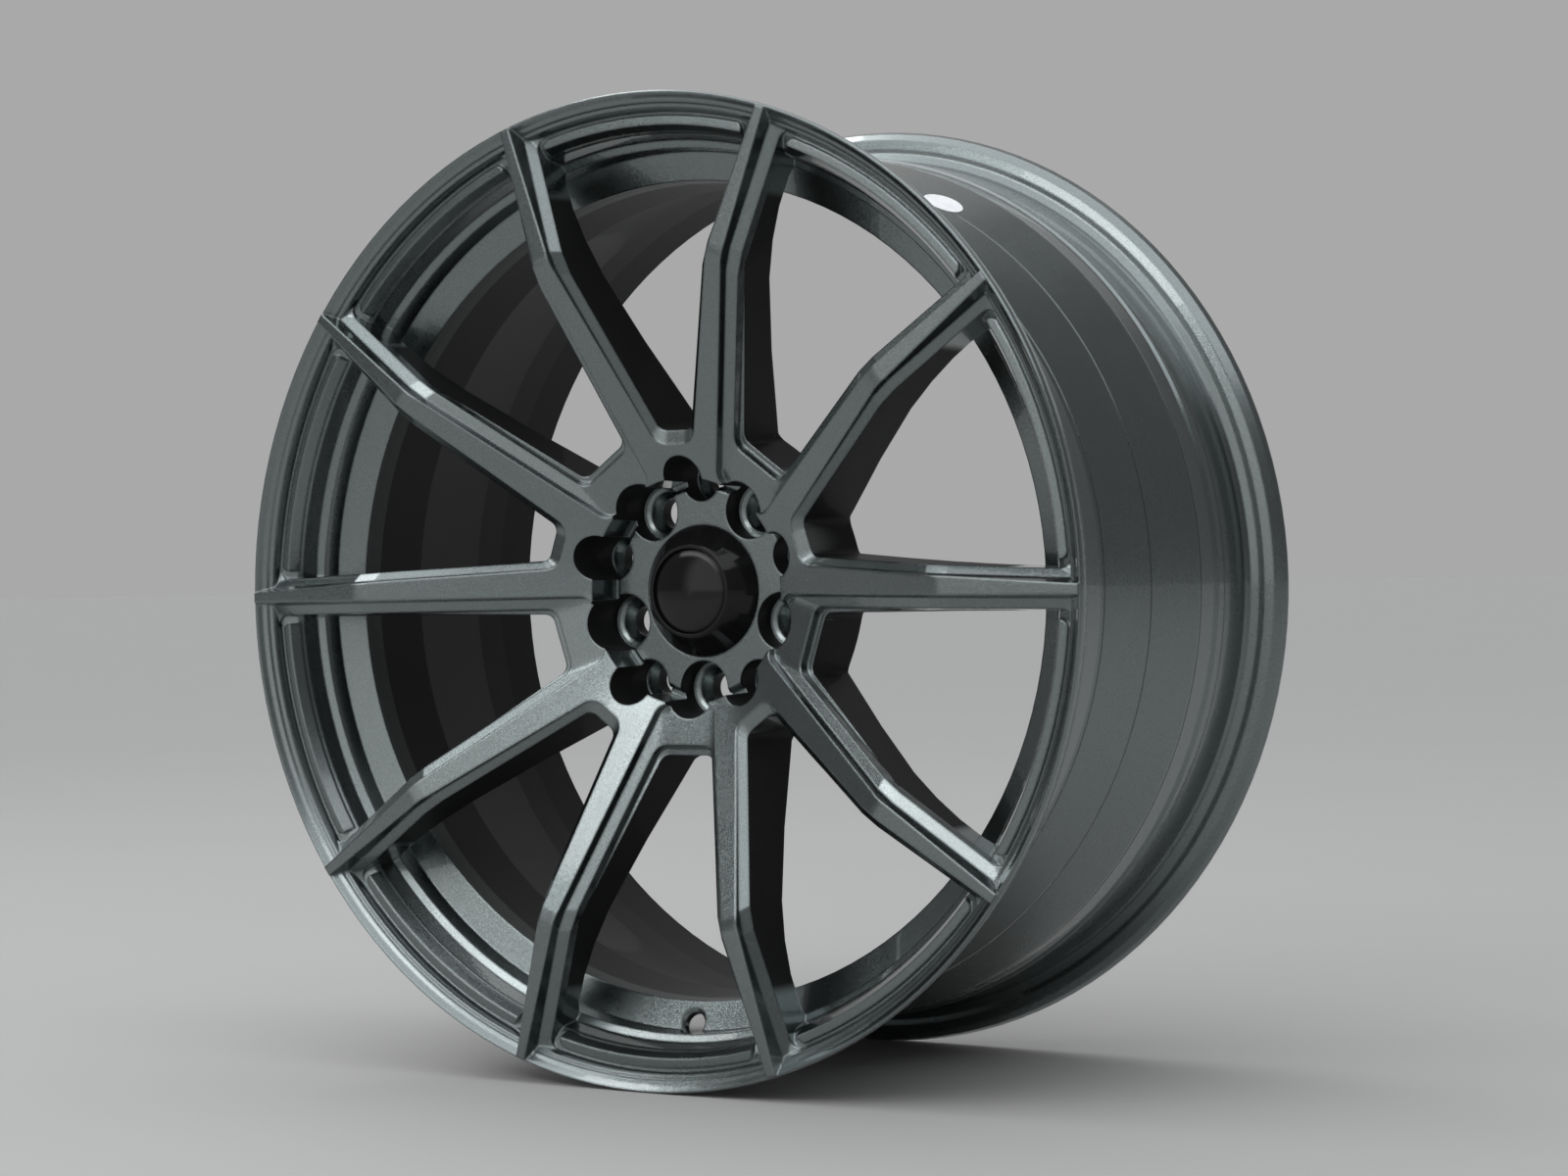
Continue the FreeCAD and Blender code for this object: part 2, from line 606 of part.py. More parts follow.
def new_sketch(body, name, role, base=("zero", "zero", "zero"), yaw="zero", roll="zero"):
    """Sketch on an origin plane of its body, moved and turned by sheet cells."""
    sketch = body.newObject("Sketcher::SketchObject", name)
    sketch.AttachmentSupport = [(plane(body, role), "")]
    sketch.MapMode = "FlatFace"
    shift = Vector(*[size(alias) for alias in base])
    sketch.AttachmentOffset = Placement(shift, Rotation(size(yaw), 0.0, size(roll)))
    for letter, alias in zip("xyz", base):
        if alias != "zero":
            sketch.setExpression(f"AttachmentOffset.Base.{letter}", cell(alias))
    for angle, alias in (("Yaw", yaw), ("Roll", roll)):
        if alias != "zero":
            sketch.setExpression(f"AttachmentOffset.Rotation.{angle}", cell(alias) + " * 1 deg")
    return sketch


def bind(sketch, kind, geometry, position, alias):
    """Distance from the sketch origin to a point, read from the sheet."""
    index = sketch.addConstraint(Sketcher.Constraint(kind, -1, 1, geometry, position, size(alias)))
    sketch.setExpression(f"Constraints[{index}]", cell(alias))


def bind_radius(sketch, geometry, alias):
    """Radius of an arc, read from the sheet."""
    index = sketch.addConstraint(Sketcher.Constraint("Radius", geometry, size(alias)))
    sketch.setExpression(f"Constraints[{index}]", cell(alias))


def closed_profile(sketch, points):
    """Closed outline of straight lines through points that are pairs of sheet cells."""
    spots = [Vector(size(across), size(along), 0.0) for across, along in points]
    for index, spot in enumerate(spots):
        sketch.addGeometry(Part.LineSegment(spot, spots[(index + 1) % len(spots)]))
    for index, (across, along) in enumerate(points):
        following = (index + 1) % len(points)
        sketch.addConstraint(Sketcher.Constraint("Coincident", index, 2, following, 1))
        bind(sketch, "DistanceX", index, 1, across)
        bind(sketch, "DistanceY", index, 1, along)


def round_corner(corner, first, second, radius):
    """Centre of a rounding and its two ends, on the rays from a corner."""
    half = first.getAngle(second) / 2.0
    reach = radius / math.tan(half)
    bisector = (first + second).normalize()
    return corner + bisector * (radius / math.sin(half)), corner + first * reach, corner + second * reach


def arc_between(centre, start, end):
    """Arc that runs anticlockwise from start to end."""
    radius = (start - centre).Length
    circle = Part.Circle(centre, Vector(0, 0, 1), radius)
    return Part.ArcOfCircle(circle, circle.parameter(start), circle.parameter(end))


def mirrored(spot):
    """The same spot on the other side of the middle line."""
    return Vector(-spot.x, spot.y, spot.z)


def hub_outline(sketch, key):
    """Window outline with two rounded corners at its hub end and an open run past the knee."""
    corner = Vector(size(key + "end_half"), size(key + "end"), 0.0)
    far = Vector(size(key + "far_half"), size(key + "far"), 0.0)
    along = (far - corner).normalize()
    centre, low, high = round_corner(corner, Vector(-1, 0, 0), along, size(key + "corner"))
    sketch.addGeometry(Part.LineSegment(mirrored(low), low))
    sketch.addGeometry(arc_between(centre, low, high))
    sketch.addGeometry(Part.LineSegment(high, far))
    sketch.addGeometry(Part.LineSegment(far, mirrored(far)))
    sketch.addGeometry(Part.LineSegment(mirrored(far), mirrored(high)))
    sketch.addGeometry(arc_between(mirrored(centre), mirrored(high), mirrored(low)))
    sketch.addGeometry(Part.Point(corner), True)
    for first, second, joint in ((0, 1, "Tangent"), (1, 2, "Tangent"), (2, 3, "Coincident"),
                                 (3, 4, "Coincident"), (4, 5, "Tangent"), (5, 0, "Tangent")):
        sketch.addConstraint(Sketcher.Constraint(joint, first, 2, second, 1))
    sketch.addConstraint(Sketcher.Constraint("Symmetric", 0, 1, 0, 2, -2))
    sketch.addConstraint(Sketcher.Constraint("Symmetric", 3, 1, 3, 2, -2))
    sketch.addConstraint(Sketcher.Constraint("Equal", 1, 5))
    sketch.addConstraint(Sketcher.Constraint("PointOnObject", 6, 1, 0))
    sketch.addConstraint(Sketcher.Constraint("PointOnObject", 6, 1, 2))
    bind(sketch, "DistanceX", 6, 1, key + "end_half")
    bind(sketch, "DistanceY", 6, 1, key + "end")
    bind(sketch, "DistanceX", 2, 2, key + "far_half")
    bind(sketch, "DistanceY", 2, 2, key + "far")
    bind_radius(sketch, 1, key + "corner")


def lip_outline(sketch, key):
    """Window outline that ends at the lip in an arc about the wheel axis with rounded corners."""
    near = Vector(size(key + "near_half"), size(key + "near"), 0.0)
    guide = Vector(size(key + "guide_half"), size(key + "guide"), 0.0)
    middle = Vector(0.0, size(key + "centre"), 0.0)
    corner = size(key + "corner")
    reach = size(key + "arc")
    along = (guide - near).normalize()
    inward = Vector(-along.y, along.x, 0.0)
    start = near + inward * corner - middle
    run = -start.dot(along) + math.sqrt(start.dot(along) ** 2 - start.dot(start) + (reach - corner) ** 2)
    centre = middle + start + along * run
    side = centre - inward * corner
    top = middle + (centre - middle).normalize() * reach
    sketch.addGeometry(arc_between(middle, top, mirrored(top)))
    sketch.addGeometry(arc_between(mirrored(centre), mirrored(top), mirrored(side)))
    sketch.addGeometry(Part.LineSegment(mirrored(side), mirrored(near)))
    sketch.addGeometry(Part.LineSegment(mirrored(near), near))
    sketch.addGeometry(Part.LineSegment(near, side))
    sketch.addGeometry(arc_between(centre, side, top))
    sketch.addGeometry(Part.Point(guide), True)
    for first, second, joint in ((0, 1, "Tangent"), (1, 2, "Tangent"), (2, 3, "Coincident"),
                                 (3, 4, "Coincident"), (4, 5, "Tangent"), (5, 0, "Tangent")):
        sketch.addConstraint(Sketcher.Constraint(joint, first, 2, second, 1))
    sketch.addConstraint(Sketcher.Constraint("Symmetric", 3, 1, 3, 2, -2))
    sketch.addConstraint(Sketcher.Constraint("Equal", 1, 5))
    sketch.addConstraint(Sketcher.Constraint("Equal", 2, 4))
    sketch.addConstraint(Sketcher.Constraint("PointOnObject", 0, 3, -2))
    sketch.addConstraint(Sketcher.Constraint("PointOnObject", 6, 1, 4))
    bind(sketch, "DistanceX", 6, 1, key + "guide_half")
    bind(sketch, "DistanceY", 6, 1, key + "guide")
    bind(sketch, "DistanceX", 4, 1, key + "near_half")
    bind(sketch, "DistanceY", 4, 1, key + "near")
    bind(sketch, "DistanceY", 0, 3, key + "centre")
    bind_radius(sketch, 0, key + "arc")
    bind_radius(sketch, 5, key + "corner")


def knee_outline(sketch, key):
    """Short stretch of a window across the knee, open at both ends."""
    near = Vector(size(key + "near_half"), -size(key + "reach"), 0.0)
    far = Vector(size(key + "far_half"), size(key + "reach"), 0.0)
    corners = [near, far, mirrored(far), mirrored(near)]
    for number in range(4):
        sketch.addGeometry(Part.LineSegment(corners[number], corners[(number + 1) % 4]))
    for number in range(4):
        sketch.addConstraint(Sketcher.Constraint("Coincident", number, 2, (number + 1) % 4, 1))
    sketch.addConstraint(Sketcher.Constraint("Symmetric", 1, 1, 1, 2, -2))
    sketch.addConstraint(Sketcher.Constraint("Symmetric", 3, 1, 3, 2, -2))
    bind(sketch, "DistanceX", 0, 1, key + "near_half")
    bind(sketch, "DistanceY", 0, 1, "-" + key + "reach")
    bind(sketch, "DistanceX", 0, 2, key + "far_half")
    bind(sketch, "DistanceY", 0, 2, key + "reach")


FULL_TURN = 360.0


def turned_solid(body, name, points):
    """Body of revolution about the wheel axis."""
    sketch = new_sketch(body, name + "_profile", "YZ_Plane")
    closed_profile(sketch, points)
    feature = body.newObject("PartDesign::Revolution", name)
    feature.Profile = sketch
    feature.ReferenceAxis = (sketch, ["H_Axis"])
    feature.Angle = FULL_TURN
    return feature


def polar(body, name, originals, count):
    """Copies of features about the wheel axis."""
    pattern = body.newObject("PartDesign::PolarPattern", name)
    pattern.Originals = originals
    pattern.Axis = (plane(body, "Y_Axis"), [""])
    pattern.Angle = FULL_TURN
    pattern.Occurrences = count
    body.Tip = pattern
    return pattern


def window(body, key, sections, draw, knee, yaw, tilt):
    """Stepped window cut, a ruled loft through outlines on one tilted plane after another."""
    name = key + "_window"
    sketches = []
    for number in range(len(sections)):
        section = f"{key}{number}_"
        base = ("zero", knee, section + "level")
        sketch = new_sketch(body, f"{name}_{number}", "XZ_Plane", base, yaw, tilt)
        draw(sketch, section)
        sketches.append(sketch)
    doc.recompute()
    loft = body.newObject("PartDesign::SubtractiveLoft", name)
    loft.Profile = sketches[0]
    loft.Sections = sketches[1:]
    loft.Ruled = True
    body.Tip = loft
    return loft


def drilled(body, name, points, base, turn="zero"):
    """Hole turned about its own axis, which is the horizontal axis of its sketch."""
    sketch = new_sketch(body, name + "_profile", "YZ_Plane", base, turn)
    closed_profile(sketch, points)
    feature = body.newObject("PartDesign::Groove", name)
    feature.Profile = sketch
    feature.ReferenceAxis = (sketch, ["H_Axis"])
    feature.Angle = FULL_TURN
    body.Tip = feature
    return feature


# Rim with lip, bead seats, drop well and barrel.
rim = doc.addObject("PartDesign::Body", "rim")
rim_turned = turned_solid(rim, "rim_turned", [
    ("-web_foot_forward", "web_foot_radius"),
    ("-web_top_forward", "web_top_radius"),
    ("-ledge_forward", "ledge_radius"),
    ("-ledge_top_forward", "ledge_top_radius"),
    ("-bed_a_forward", "bed_a_radius"),
    ("-bed_b_forward", "bed_b_radius"),
    ("-bed_c_forward", "bed_c_radius"),
    ("-groove_floor_forward", "groove_in_radius"),
    ("-groove_floor_forward", "groove_out_radius"),
    ("-lip_a_forward", "lip_a_radius"),
    ("-lip_b_forward", "lip_b_radius"),
    ("-lip_c_forward", "lip_c_radius"),
    ("-lip_d_forward", "lip_d_radius"),
    ("-lip_e_forward", "lip_e_radius"),
    ("-lip_f_forward", "lip_f_radius"),
    ("-lip_front", "lip_g_radius"),
    ("-lip_h_forward", "lip_h_radius"),
    ("-crest_forward", "flange_radius"),
    ("-curve_high_forward", "curve_high_radius"),
    ("-curve_low_forward", "curve_low_radius"),
    ("-rim_half_width", "curve_foot_radius"),
    ("-rim_half_width", "fillet_top_radius"),
    ("-fillet_mid_forward", "fillet_mid_radius"),
    ("-fillet_low_forward", "seat_radius"),
    ("-seat_end_forward", "seat_end_radius"),
    ("-hump_forward", "hump_radius"),
    ("-hump_end_forward", "hump_radius"),
    ("-wall_top_forward", "wall_top_radius"),
    ("-wall_foot_forward", "wall_foot_radius"),
    ("-well_start_forward", "well_radius"),
    ("-well_end_forward", "well_radius"),
    ("-crease_forward", "crease_radius"),
    ("-cone_end_forward", "cone_end_radius"),
    ("-rear_hump_forward", "seat_end_radius"),
    ("-rear_hump_top", "rear_hump_radius"),
    ("-rear_hump_end", "rear_hump_radius"),
    ("-rear_seat_forward", "seat_end_radius"),
    ("fillet_low_forward", "seat_radius"),
    ("fillet_mid_forward", "fillet_mid_radius"),
    ("rim_half_width", "fillet_top_radius"),
    ("rim_half_width", "curve_foot_radius"),
    ("curve_low_forward", "curve_low_radius"),
    ("curve_high_forward", "curve_high_radius"),
    ("-rear_crest_forward", "flange_radius"),
    ("-rear_round_forward", "lip_g_radius"),
    ("-rear_edge_forward", "rear_edge_radius"),
    ("-rear_under_forward", "rear_under_radius"),
    ("-rear_turn_forward", "rear_turn_radius"),
    ("-rear_inner_forward", "inner_seat_radius"),
    ("-rear_hump_end", "inner_seat_radius"),
    ("-cone_end_forward", "inner_cone_radius"),
    ("-well_end_forward", "inner_well_radius"),
    ("-well_start_forward", "inner_well_radius"),
])
drilled(rim, "valve_hole", [
    ("valve_start", "zero"),
    ("valve_start", "valve_face_radius"),
    ("valve_face_depth", "valve_face_radius"),
    ("valve_bore_start", "valve_hole_radius"),
    ("valve_reach", "valve_hole_radius"),
    ("valve_reach", "zero"),
], ("-valve_forward", "-valve_radius", "valve_shift"), "valve_turn")

# Raised bands between the spokes, which end short of the spoke walls in rounded corners.
band_ring = doc.addObject("PartDesign::Body", "band_ring")
turned_solid(band_ring, "band_turned", [
    ("-band_root_forward", "band_root_radius"),
    ("-band_foot_forward", "band_inner_radius"),
    ("-band_forward", "band_radius"),
    ("-band_edge_forward", "band_edge_radius"),
    ("-band_side_forward", "band_side_radius"),
    ("-band_sunk_forward", "band_sunk_radius"),
    ("-band_heel_forward", "band_heel_radius"),
])
WINDOW_COUNT = 5
WINDOWS = (("pair", "pair_knee", "zero"), ("gap", "-gap_knee", "half_turn"))
bands = []
for kind, knee, yaw in WINDOWS:
    plugs = doc.addObject("PartDesign::Body", kind + "_plugs")
    outline = new_sketch(plugs, kind + "_plug_outline", "XZ_Plane", ("zero", knee, "band_plug_level"), yaw)
    lip_outline(outline, kind + "_band_")
    plug = plugs.newObject("PartDesign::Pad", kind + "_plug")
    plug.Profile = outline
    plug.Length = size("band_plug_height")
    plug.setExpression("Length", "sizes.band_plug_height")
    polar(plugs, kind + "_plug_ring", [plug], WINDOW_COUNT)
    band = doc.addObject("Part::MultiCommon", kind + "_bands")
    band.Shapes = [band_ring, plugs]
    bands.append(band)

# Hub and spokes.
face = doc.addObject("PartDesign::Body", "face")
face_turned = turned_solid(face, "face_turned", [
    ("-boss_forward", "cap_seat_radius"),
    ("-boss_forward", "boss_radius"),
    ("-boss_edge_forward", "boss_edge_radius"),
    ("-groove_forward", "groove_inner_radius"),
    ("-groove_forward", "groove_outer_radius"),
    ("-root_forward", "root_radius"),
    ("-knee_forward", "knee_radius"),
    ("-tip_forward", "tip_radius"),
    ("-tip_back_forward", "tip_radius"),
    ("-joint_a_forward", "joint_a_radius"),
    ("-joint_b_forward", "joint_b_radius"),
    ("-joint_c_forward", "joint_c_radius"),
    ("-joint_d_forward", "joint_d_radius"),
    ("-joint_f_forward", "joint_f_radius"),
    ("-joint_e_forward", "joint_e_radius"),
    ("-back_e_forward", "back_e_radius"),
    ("-back_d_forward", "back_d_radius"),
    ("-back_c_forward", "back_c_radius"),
    ("-back_b_forward", "back_b_radius"),
    ("-back_a_forward", "back_a_radius"),
    ("-root_back_forward", "root_back_radius"),
    ("-pad_edge_forward", "pad_edge_radius"),
    ("-offset_forward", "pad_radius"),
    ("-offset_forward", "bore_mouth_radius"),
    ("-bore_mouth_forward", "hub_bore_radius"),
    ("-spigot_end_forward", "hub_bore_radius"),
    ("-spigot_end_forward", "hook_room_radius"),
    ("-bore_end_forward", "hook_room_radius"),
    ("-bore_end_forward", "cap_bore_radius"),
    ("-cap_seat_forward", "cap_bore_radius"),
    ("-cap_seat_forward", "cap_seat_radius"),
])
doc.recompute()
SAME = 0.01
knee_edges = [
    f"Edge{number}" for number, edge in enumerate(face_turned.Shape.Edges, 1)
    if isinstance(edge.Curve, Part.Circle) and abs(edge.Curve.Radius - size("knee_radius")) < SAME
    and abs(edge.Curve.Center.y + size("knee_forward")) < SAME
]
knee_rounding = face.newObject("PartDesign::Fillet", "knee_rounding")
knee_rounding.Base = (face_turned, knee_edges)
knee_rounding.Radius = size("knee_round")
knee_rounding.setExpression("Radius", "sizes.knee_round")
face.Tip = knee_rounding
doc.recompute()

for kind, knee, yaw in WINDOWS:
    cuts = [
        window(face, kind + "_hub", HUB_SECTIONS[kind], hub_outline, knee, yaw, kind + "_tilt_in"),
        window(face, kind + "_knee", LIP_SECTIONS[kind], knee_outline, knee, yaw, kind + "_knee_tilt"),
        window(face, kind + "_lip", LIP_SECTIONS[kind], lip_outline, knee, yaw, kind + "_tilt_out"),
    ]
    polar(face, kind + "_windows", cuts, WINDOW_COUNT)

# Two circles of lug holes with conical seats, one behind each kind of window.
outer_hole = drilled(face, "outer_lug_hole", [
    ("-lug_top_forward", "zero"),
    ("-lug_top_forward", "outer_bore_radius"),
    ("-seat_cone_forward", "outer_bore_radius"),
    ("-seat_cone_forward", "seat_cone_radius"),
    ("-bolt_start_forward", "bolt_hole_radius"),
    ("-lug_bottom_forward", "bolt_hole_radius"),
    ("-lug_bottom_forward", "zero"),
], ("zero", "outer_circle_radius", "zero"))
polar(face, "outer_lug_holes", [outer_hole], WINDOW_COUNT)
inner_hole = drilled(face, "inner_lug_hole", [
    ("-lug_top_forward", "zero"),
    ("-lug_top_forward", "inner_bore_radius"),
    ("-seat_face_forward", "inner_bore_radius"),
    ("-seat_face_forward", "seat_face_radius"),
    ("-seat_cone_forward", "seat_cone_radius"),
    ("-bolt_start_forward", "bolt_hole_radius"),
    ("-lug_bottom_forward", "bolt_hole_radius"),
    ("-lug_bottom_forward", "zero"),
], ("zero", "-inner_circle_radius", "zero"))
polar(face, "inner_lug_holes", [inner_hole], WINDOW_COUNT)

casting = doc.addObject("Part::MultiFuse", "wheel_casting")
casting.Shapes = [face, rim] + bands

# Cap with snap legs that hook behind the ledge of the hub.
cap = doc.addObject("PartDesign::Body", "centre_cap")
turned_solid(cap, "cap_turned", [
    ("-cap_seat_forward", "cap_outer_radius"),
    ("-cap_edge_forward", "cap_outer_radius"),
    ("-cap_shoulder_forward", "cap_shoulder_radius"),
    ("-cap_top_forward", "cap_ring_radius"),
    ("-cap_top_forward", "cap_ring_inner"),
    ("-dish_forward", "cap_ring_inner"),
    ("-dish_forward", "zero"),
    ("-dish_under_forward", "zero"),
    ("-dish_under_forward", "under_top_radius"),
    ("-leg_root_forward", "under_inner_radius"),
    ("-cap_seat_forward", "under_inner_radius"),
])
leg = turned_solid(cap, "cap_leg", [
    ("-leg_root_forward", "leg_inner_radius"),
    ("-leg_root_forward", "leg_outer_radius"),
    ("-hook_forward", "leg_outer_radius"),
    ("-hook_forward", "hook_radius"),
    ("-hook_low_forward", "hook_radius"),
    ("-leg_end_forward", "leg_outer_radius"),
    ("-leg_end_forward", "leg_inner_radius"),
])
leg.setExpression("Angle", "sizes.leg_angle")
LEG_COUNT = 6
polar(cap, "cap_legs", [leg], LEG_COUNT)

# Bare domed badge that lies in the dish of the cap.
badge = doc.addObject("PartDesign::Body", "cap_badge")
dome = new_sketch(badge, "dome_profile", "YZ_Plane")
foot = Vector(-size("dish_forward"), 0.0, 0.0)
foot_edge = Vector(-size("dish_forward"), size("badge_radius"), 0.0)
dome_edge = Vector(-size("badge_edge_forward"), size("badge_radius"), 0.0)
crown = Vector(-size("badge_crown_forward"), 0.0, 0.0)
dome_centre = Vector(-size("badge_centre_forward"), 0.0, 0.0)
dome.addGeometry(Part.LineSegment(foot, foot_edge))
dome.addGeometry(Part.LineSegment(foot_edge, dome_edge))
dome.addGeometry(arc_between(dome_centre, dome_edge, crown))
dome.addGeometry(Part.LineSegment(crown, foot))
for first in range(4):
    dome.addConstraint(Sketcher.Constraint("Coincident", first, 2, (first + 1) % 4, 1))
dome.addConstraint(Sketcher.Constraint("PointOnObject", 0, 1, -1))
dome.addConstraint(Sketcher.Constraint("PointOnObject", 3, 1, -1))
dome.addConstraint(Sketcher.Constraint("PointOnObject", 2, 3, -1))
dome.addConstraint(Sketcher.Constraint("Vertical", 0))
bind(dome, "DistanceX", 0, 1, "-dish_forward")
bind(dome, "DistanceY", 0, 2, "badge_radius")
bind(dome, "DistanceX", 2, 1, "-badge_edge_forward")
bind(dome, "DistanceY", 2, 1, "badge_radius")
bind(dome, "DistanceX", 3, 1, "-badge_crown_forward")
badge_turned = badge.newObject("PartDesign::Revolution", "badge_turned")
badge_turned.Profile = dome
badge_turned.ReferenceAxis = (dome, ["H_Axis"])
badge_turned.Angle = FULL_TURN

# Oval sticker, cut from a thin skin on the cone of the barrel.
skin = doc.addObject("PartDesign::Body", "sticker_skin")
skin_turned = turned_solid(skin, "skin_turned", [
    ("-well_end_forward", "well_radius"),
    ("-well_end_forward", "sticker_skin_well"),
    ("-crease_forward", "sticker_skin_crease"),
    ("-cone_end_forward", "sticker_skin_end"),
    ("-cone_end_forward", "cone_end_radius"),
    ("-crease_forward", "crease_radius"),
])
skin_turned.Midplane = True
skin_turned.setExpression("Angle", "sizes.sticker_skin_angle")
punch = doc.addObject("PartDesign::Body", "sticker_punch")
oval = new_sketch(punch, "oval_outline", "XY_Plane", ("zero", "-sticker_forward", "zero"))
oval.addGeometry(Part.Ellipse(Vector(0, 0, 0), size("sticker_half_length"), size("sticker_half_width")))
oval.exposeInternalGeometry(0)
oval.addConstraint(Sketcher.Constraint("Coincident", 0, 3, -1, 1))
oval.addConstraint(Sketcher.Constraint("Horizontal", 1))
for line, alias in ((1, "sticker_length"), (2, "sticker_width")):
    index = oval.addConstraint(Sketcher.Constraint("Distance", line, size(alias)))
    oval.setExpression(f"Constraints[{index}]", cell(alias))
punch_pad = punch.newObject("PartDesign::Pad", "punch_pad")
punch_pad.Profile = oval
punch_pad.Length = size("sticker_rise")
punch_pad.setExpression("Length", "sizes.sticker_rise")
sticker = doc.addObject("Part::MultiCommon", "sticker")
sticker.Shapes = [skin, punch]
sticker.Placement = Placement(Vector(), Rotation(Vector(0, 1, 0), size("sticker_turn")))
sticker.setExpression("Placement.Rotation.Angle", "sizes.sticker_turn * 1 deg")

NODES = [casting, cap, badge, sticker]
for node in NODES:
    node.Label = node.Name
    node.setExpression("Placement.Base.y", "sizes.offset_forward")
doc.recompute()

for item in doc.Objects:
    if "Invalid" in item.State or "Error" in item.State:
        raise RuntimeError(f"{item.Name}: {item.State}")
for node in NODES:
    if node.Shape.isNull() or not node.Shape.isValid() or len(node.Shape.Solids) != 1:
        raise RuntimeError(f"{node.Name}: {len(node.Shape.Solids)} solids")
    node.Shape.exportStep(f"parts/{node.Name}.step")
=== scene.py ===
import math

import bmesh
import bpy
from bpy.props import FloatProperty, FloatVectorProperty, PointerProperty
from mathutils import Matrix, Vector


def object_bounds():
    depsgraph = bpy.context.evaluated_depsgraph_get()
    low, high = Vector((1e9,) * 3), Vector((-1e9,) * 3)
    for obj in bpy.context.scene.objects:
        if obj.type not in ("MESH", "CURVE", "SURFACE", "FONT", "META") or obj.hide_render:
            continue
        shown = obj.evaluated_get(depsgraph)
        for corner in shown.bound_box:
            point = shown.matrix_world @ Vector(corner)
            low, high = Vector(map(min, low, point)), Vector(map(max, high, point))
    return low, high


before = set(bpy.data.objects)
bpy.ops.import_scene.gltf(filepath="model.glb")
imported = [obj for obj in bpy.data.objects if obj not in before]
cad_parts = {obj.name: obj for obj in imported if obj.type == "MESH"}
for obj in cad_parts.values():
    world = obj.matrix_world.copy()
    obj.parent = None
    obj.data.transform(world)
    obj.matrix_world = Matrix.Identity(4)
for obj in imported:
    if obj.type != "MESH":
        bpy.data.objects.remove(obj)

bl_info = {
    "name": "Alloy wheel dressing",
    "version": (1, 0, 0),
    "blender": (4, 5, 0),
    "location": "View3D > Sidebar > Wheel",
    "description": "Finishes for a gunmetal alloy wheel, its cap, badge and sticker, on a plain stage",
    "category": "Material",
}

CAD_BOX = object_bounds()
# Light of the studio: the level and tint overhead and the heights at which it fades in, the level of the
# dim sides, and the backdrop and the front wall, each with its direction, the cosine at its edge and its
# level. Flags on the left and behind cut the overhead light off higher up: each has its direction, the
# cosines at its edge and its rise.
SKY_LEVEL = 1.65
SKY_TINT = (0.985, 1.0, 1.02, 1.0)
SKY_EDGE = (0.55, 0.63)
WHITE = (1.0, 1.0, 1.0, 1.0)
SIDE_LEVEL = 0.18
EDGE_BLUR = 0.06
BACKDROP = ((-0.539, 0.842, 0.0), 0.64, 0.397)
FRONT_WALL = ((0.07, -0.998, 0.0), 0.78, 0.95)
FLAGS = (((-0.95, -0.31, 0.0), (0.55, 0.70), 0.24), ((0.10, 0.995, 0.0), (0.30, 0.50), 0.24))
# Lamps: name, place, width, depth and power. Each is aimed at the hub.
LAMPS = (
    ("front_softbox", (-0.62, -2.35, 1.72), 3.6, 0.60, 25.0),
    ("top_strip", (-1.4, 0.05, 2.1), 2.4, 0.5, 12.0),
)
# Places on the casting, in metres, as a pair for each edge that fades: radii of the hub's edge, of the
# spokes' ends and of the rim's start, and the foot of the lip's band along the axle.
HUB_EDGE = (0.081, 0.083)
SPOKE_END = (0.212, 0.205)
RIM_START = (0.180, 0.186)
BAND_FOOT = (-0.032, -0.030)
# Each lug circle's radius, turn and pocket radius, and how far past a pocket its black coat, partly painted
# shade, fades out.
LUG_FOLD = math.pi / 5.0
LUG_POCKETS = ((0.05715, 0.0, 0.0114), (0.050, LUG_FOLD, 0.0145))
POCKET_FADE = (0.0006, 0.0003)
# Lines that turning leaves round the outside of the barrel, by their places along the axle, in metres.
TURNED_LINES = (0.0072, 0.0420, 0.0797)
# How far a surface faces away from the axle on the outside of the barrel and towards it on the inside, how
# far it faces back where the black coat lies, partly black paint the spray did not cover and partly painted
# shade in the recesses, and how far the spray's edge drifts.
OUTSIDE_LEAN = (0.25, 0.55)
INSIDE_LEAN = (-0.25, -0.55)
UNSPRAYED_SHADE = (-0.15, -0.07)
SPRAY_DRIFT = 0.02
# Finish of the paint: shares of its colour in dark flakes, light flakes and turned lines (painted shade in
# the grooves), its shine, the roughness of paint, clear coat and black coat, and how much clear coat lies
# on the black one.
DARK_FLAKE, LIGHT_FLAKE, LINE_PAINTED_SHADE = 0.80, 1.22, 0.30
PAINT_SHINE, PAINT_ROUGHNESS = 0.2, (0.25, 0.30)
CLEAR_ROUGHNESS = 0.035
UNDER_ROUGHNESS = 0.58
UNDER_CLEAR = 0.06
# Finish of the cap and the badge: shine and roughness of each, and the size, share and colour of dust.
CAP_SHINE, CAP_ROUGHNESS = 0.24, (0.06, 0.13)
BADGE_SHINE, BADGE_ROUGHNESS = 0.36, (0.05, 0.09)
DUST_SIZE = (0.10, 0.04)
DUST_SHARE = 0.35
DUST_COLOUR = (0.16, 0.155, 0.15, 1.0)
# Finish of the sticker: its roughness, the share of its colour where soiled, and height and show of fibres.
STICKER_ROUGHNESS = (0.48, 0.62)
STICKER_SOIL = 0.86
FIBRE_DEPTH, FIBRE_SHOW = 0.00001, 0.7
# Finish of the floor: its roughness and the share of its colour where worn.
FLOOR_ROUGHNESS = 0.75
FLOOR_WEAR = 0.96
# Spots to a metre: uneven gloss of paint, cap and sticker, drift of the spray, dust, fibres and floor wear.
PAINT_PATCHES, CAP_PATCHES, STICKER_PATCHES = 14.0, 60.0, 160.0
SPRAY_CLOUDS = 90.0
DUST_SPOTS = 420.0
FIBRES = 2600.0
FLOOR_PATCHES = 3.0
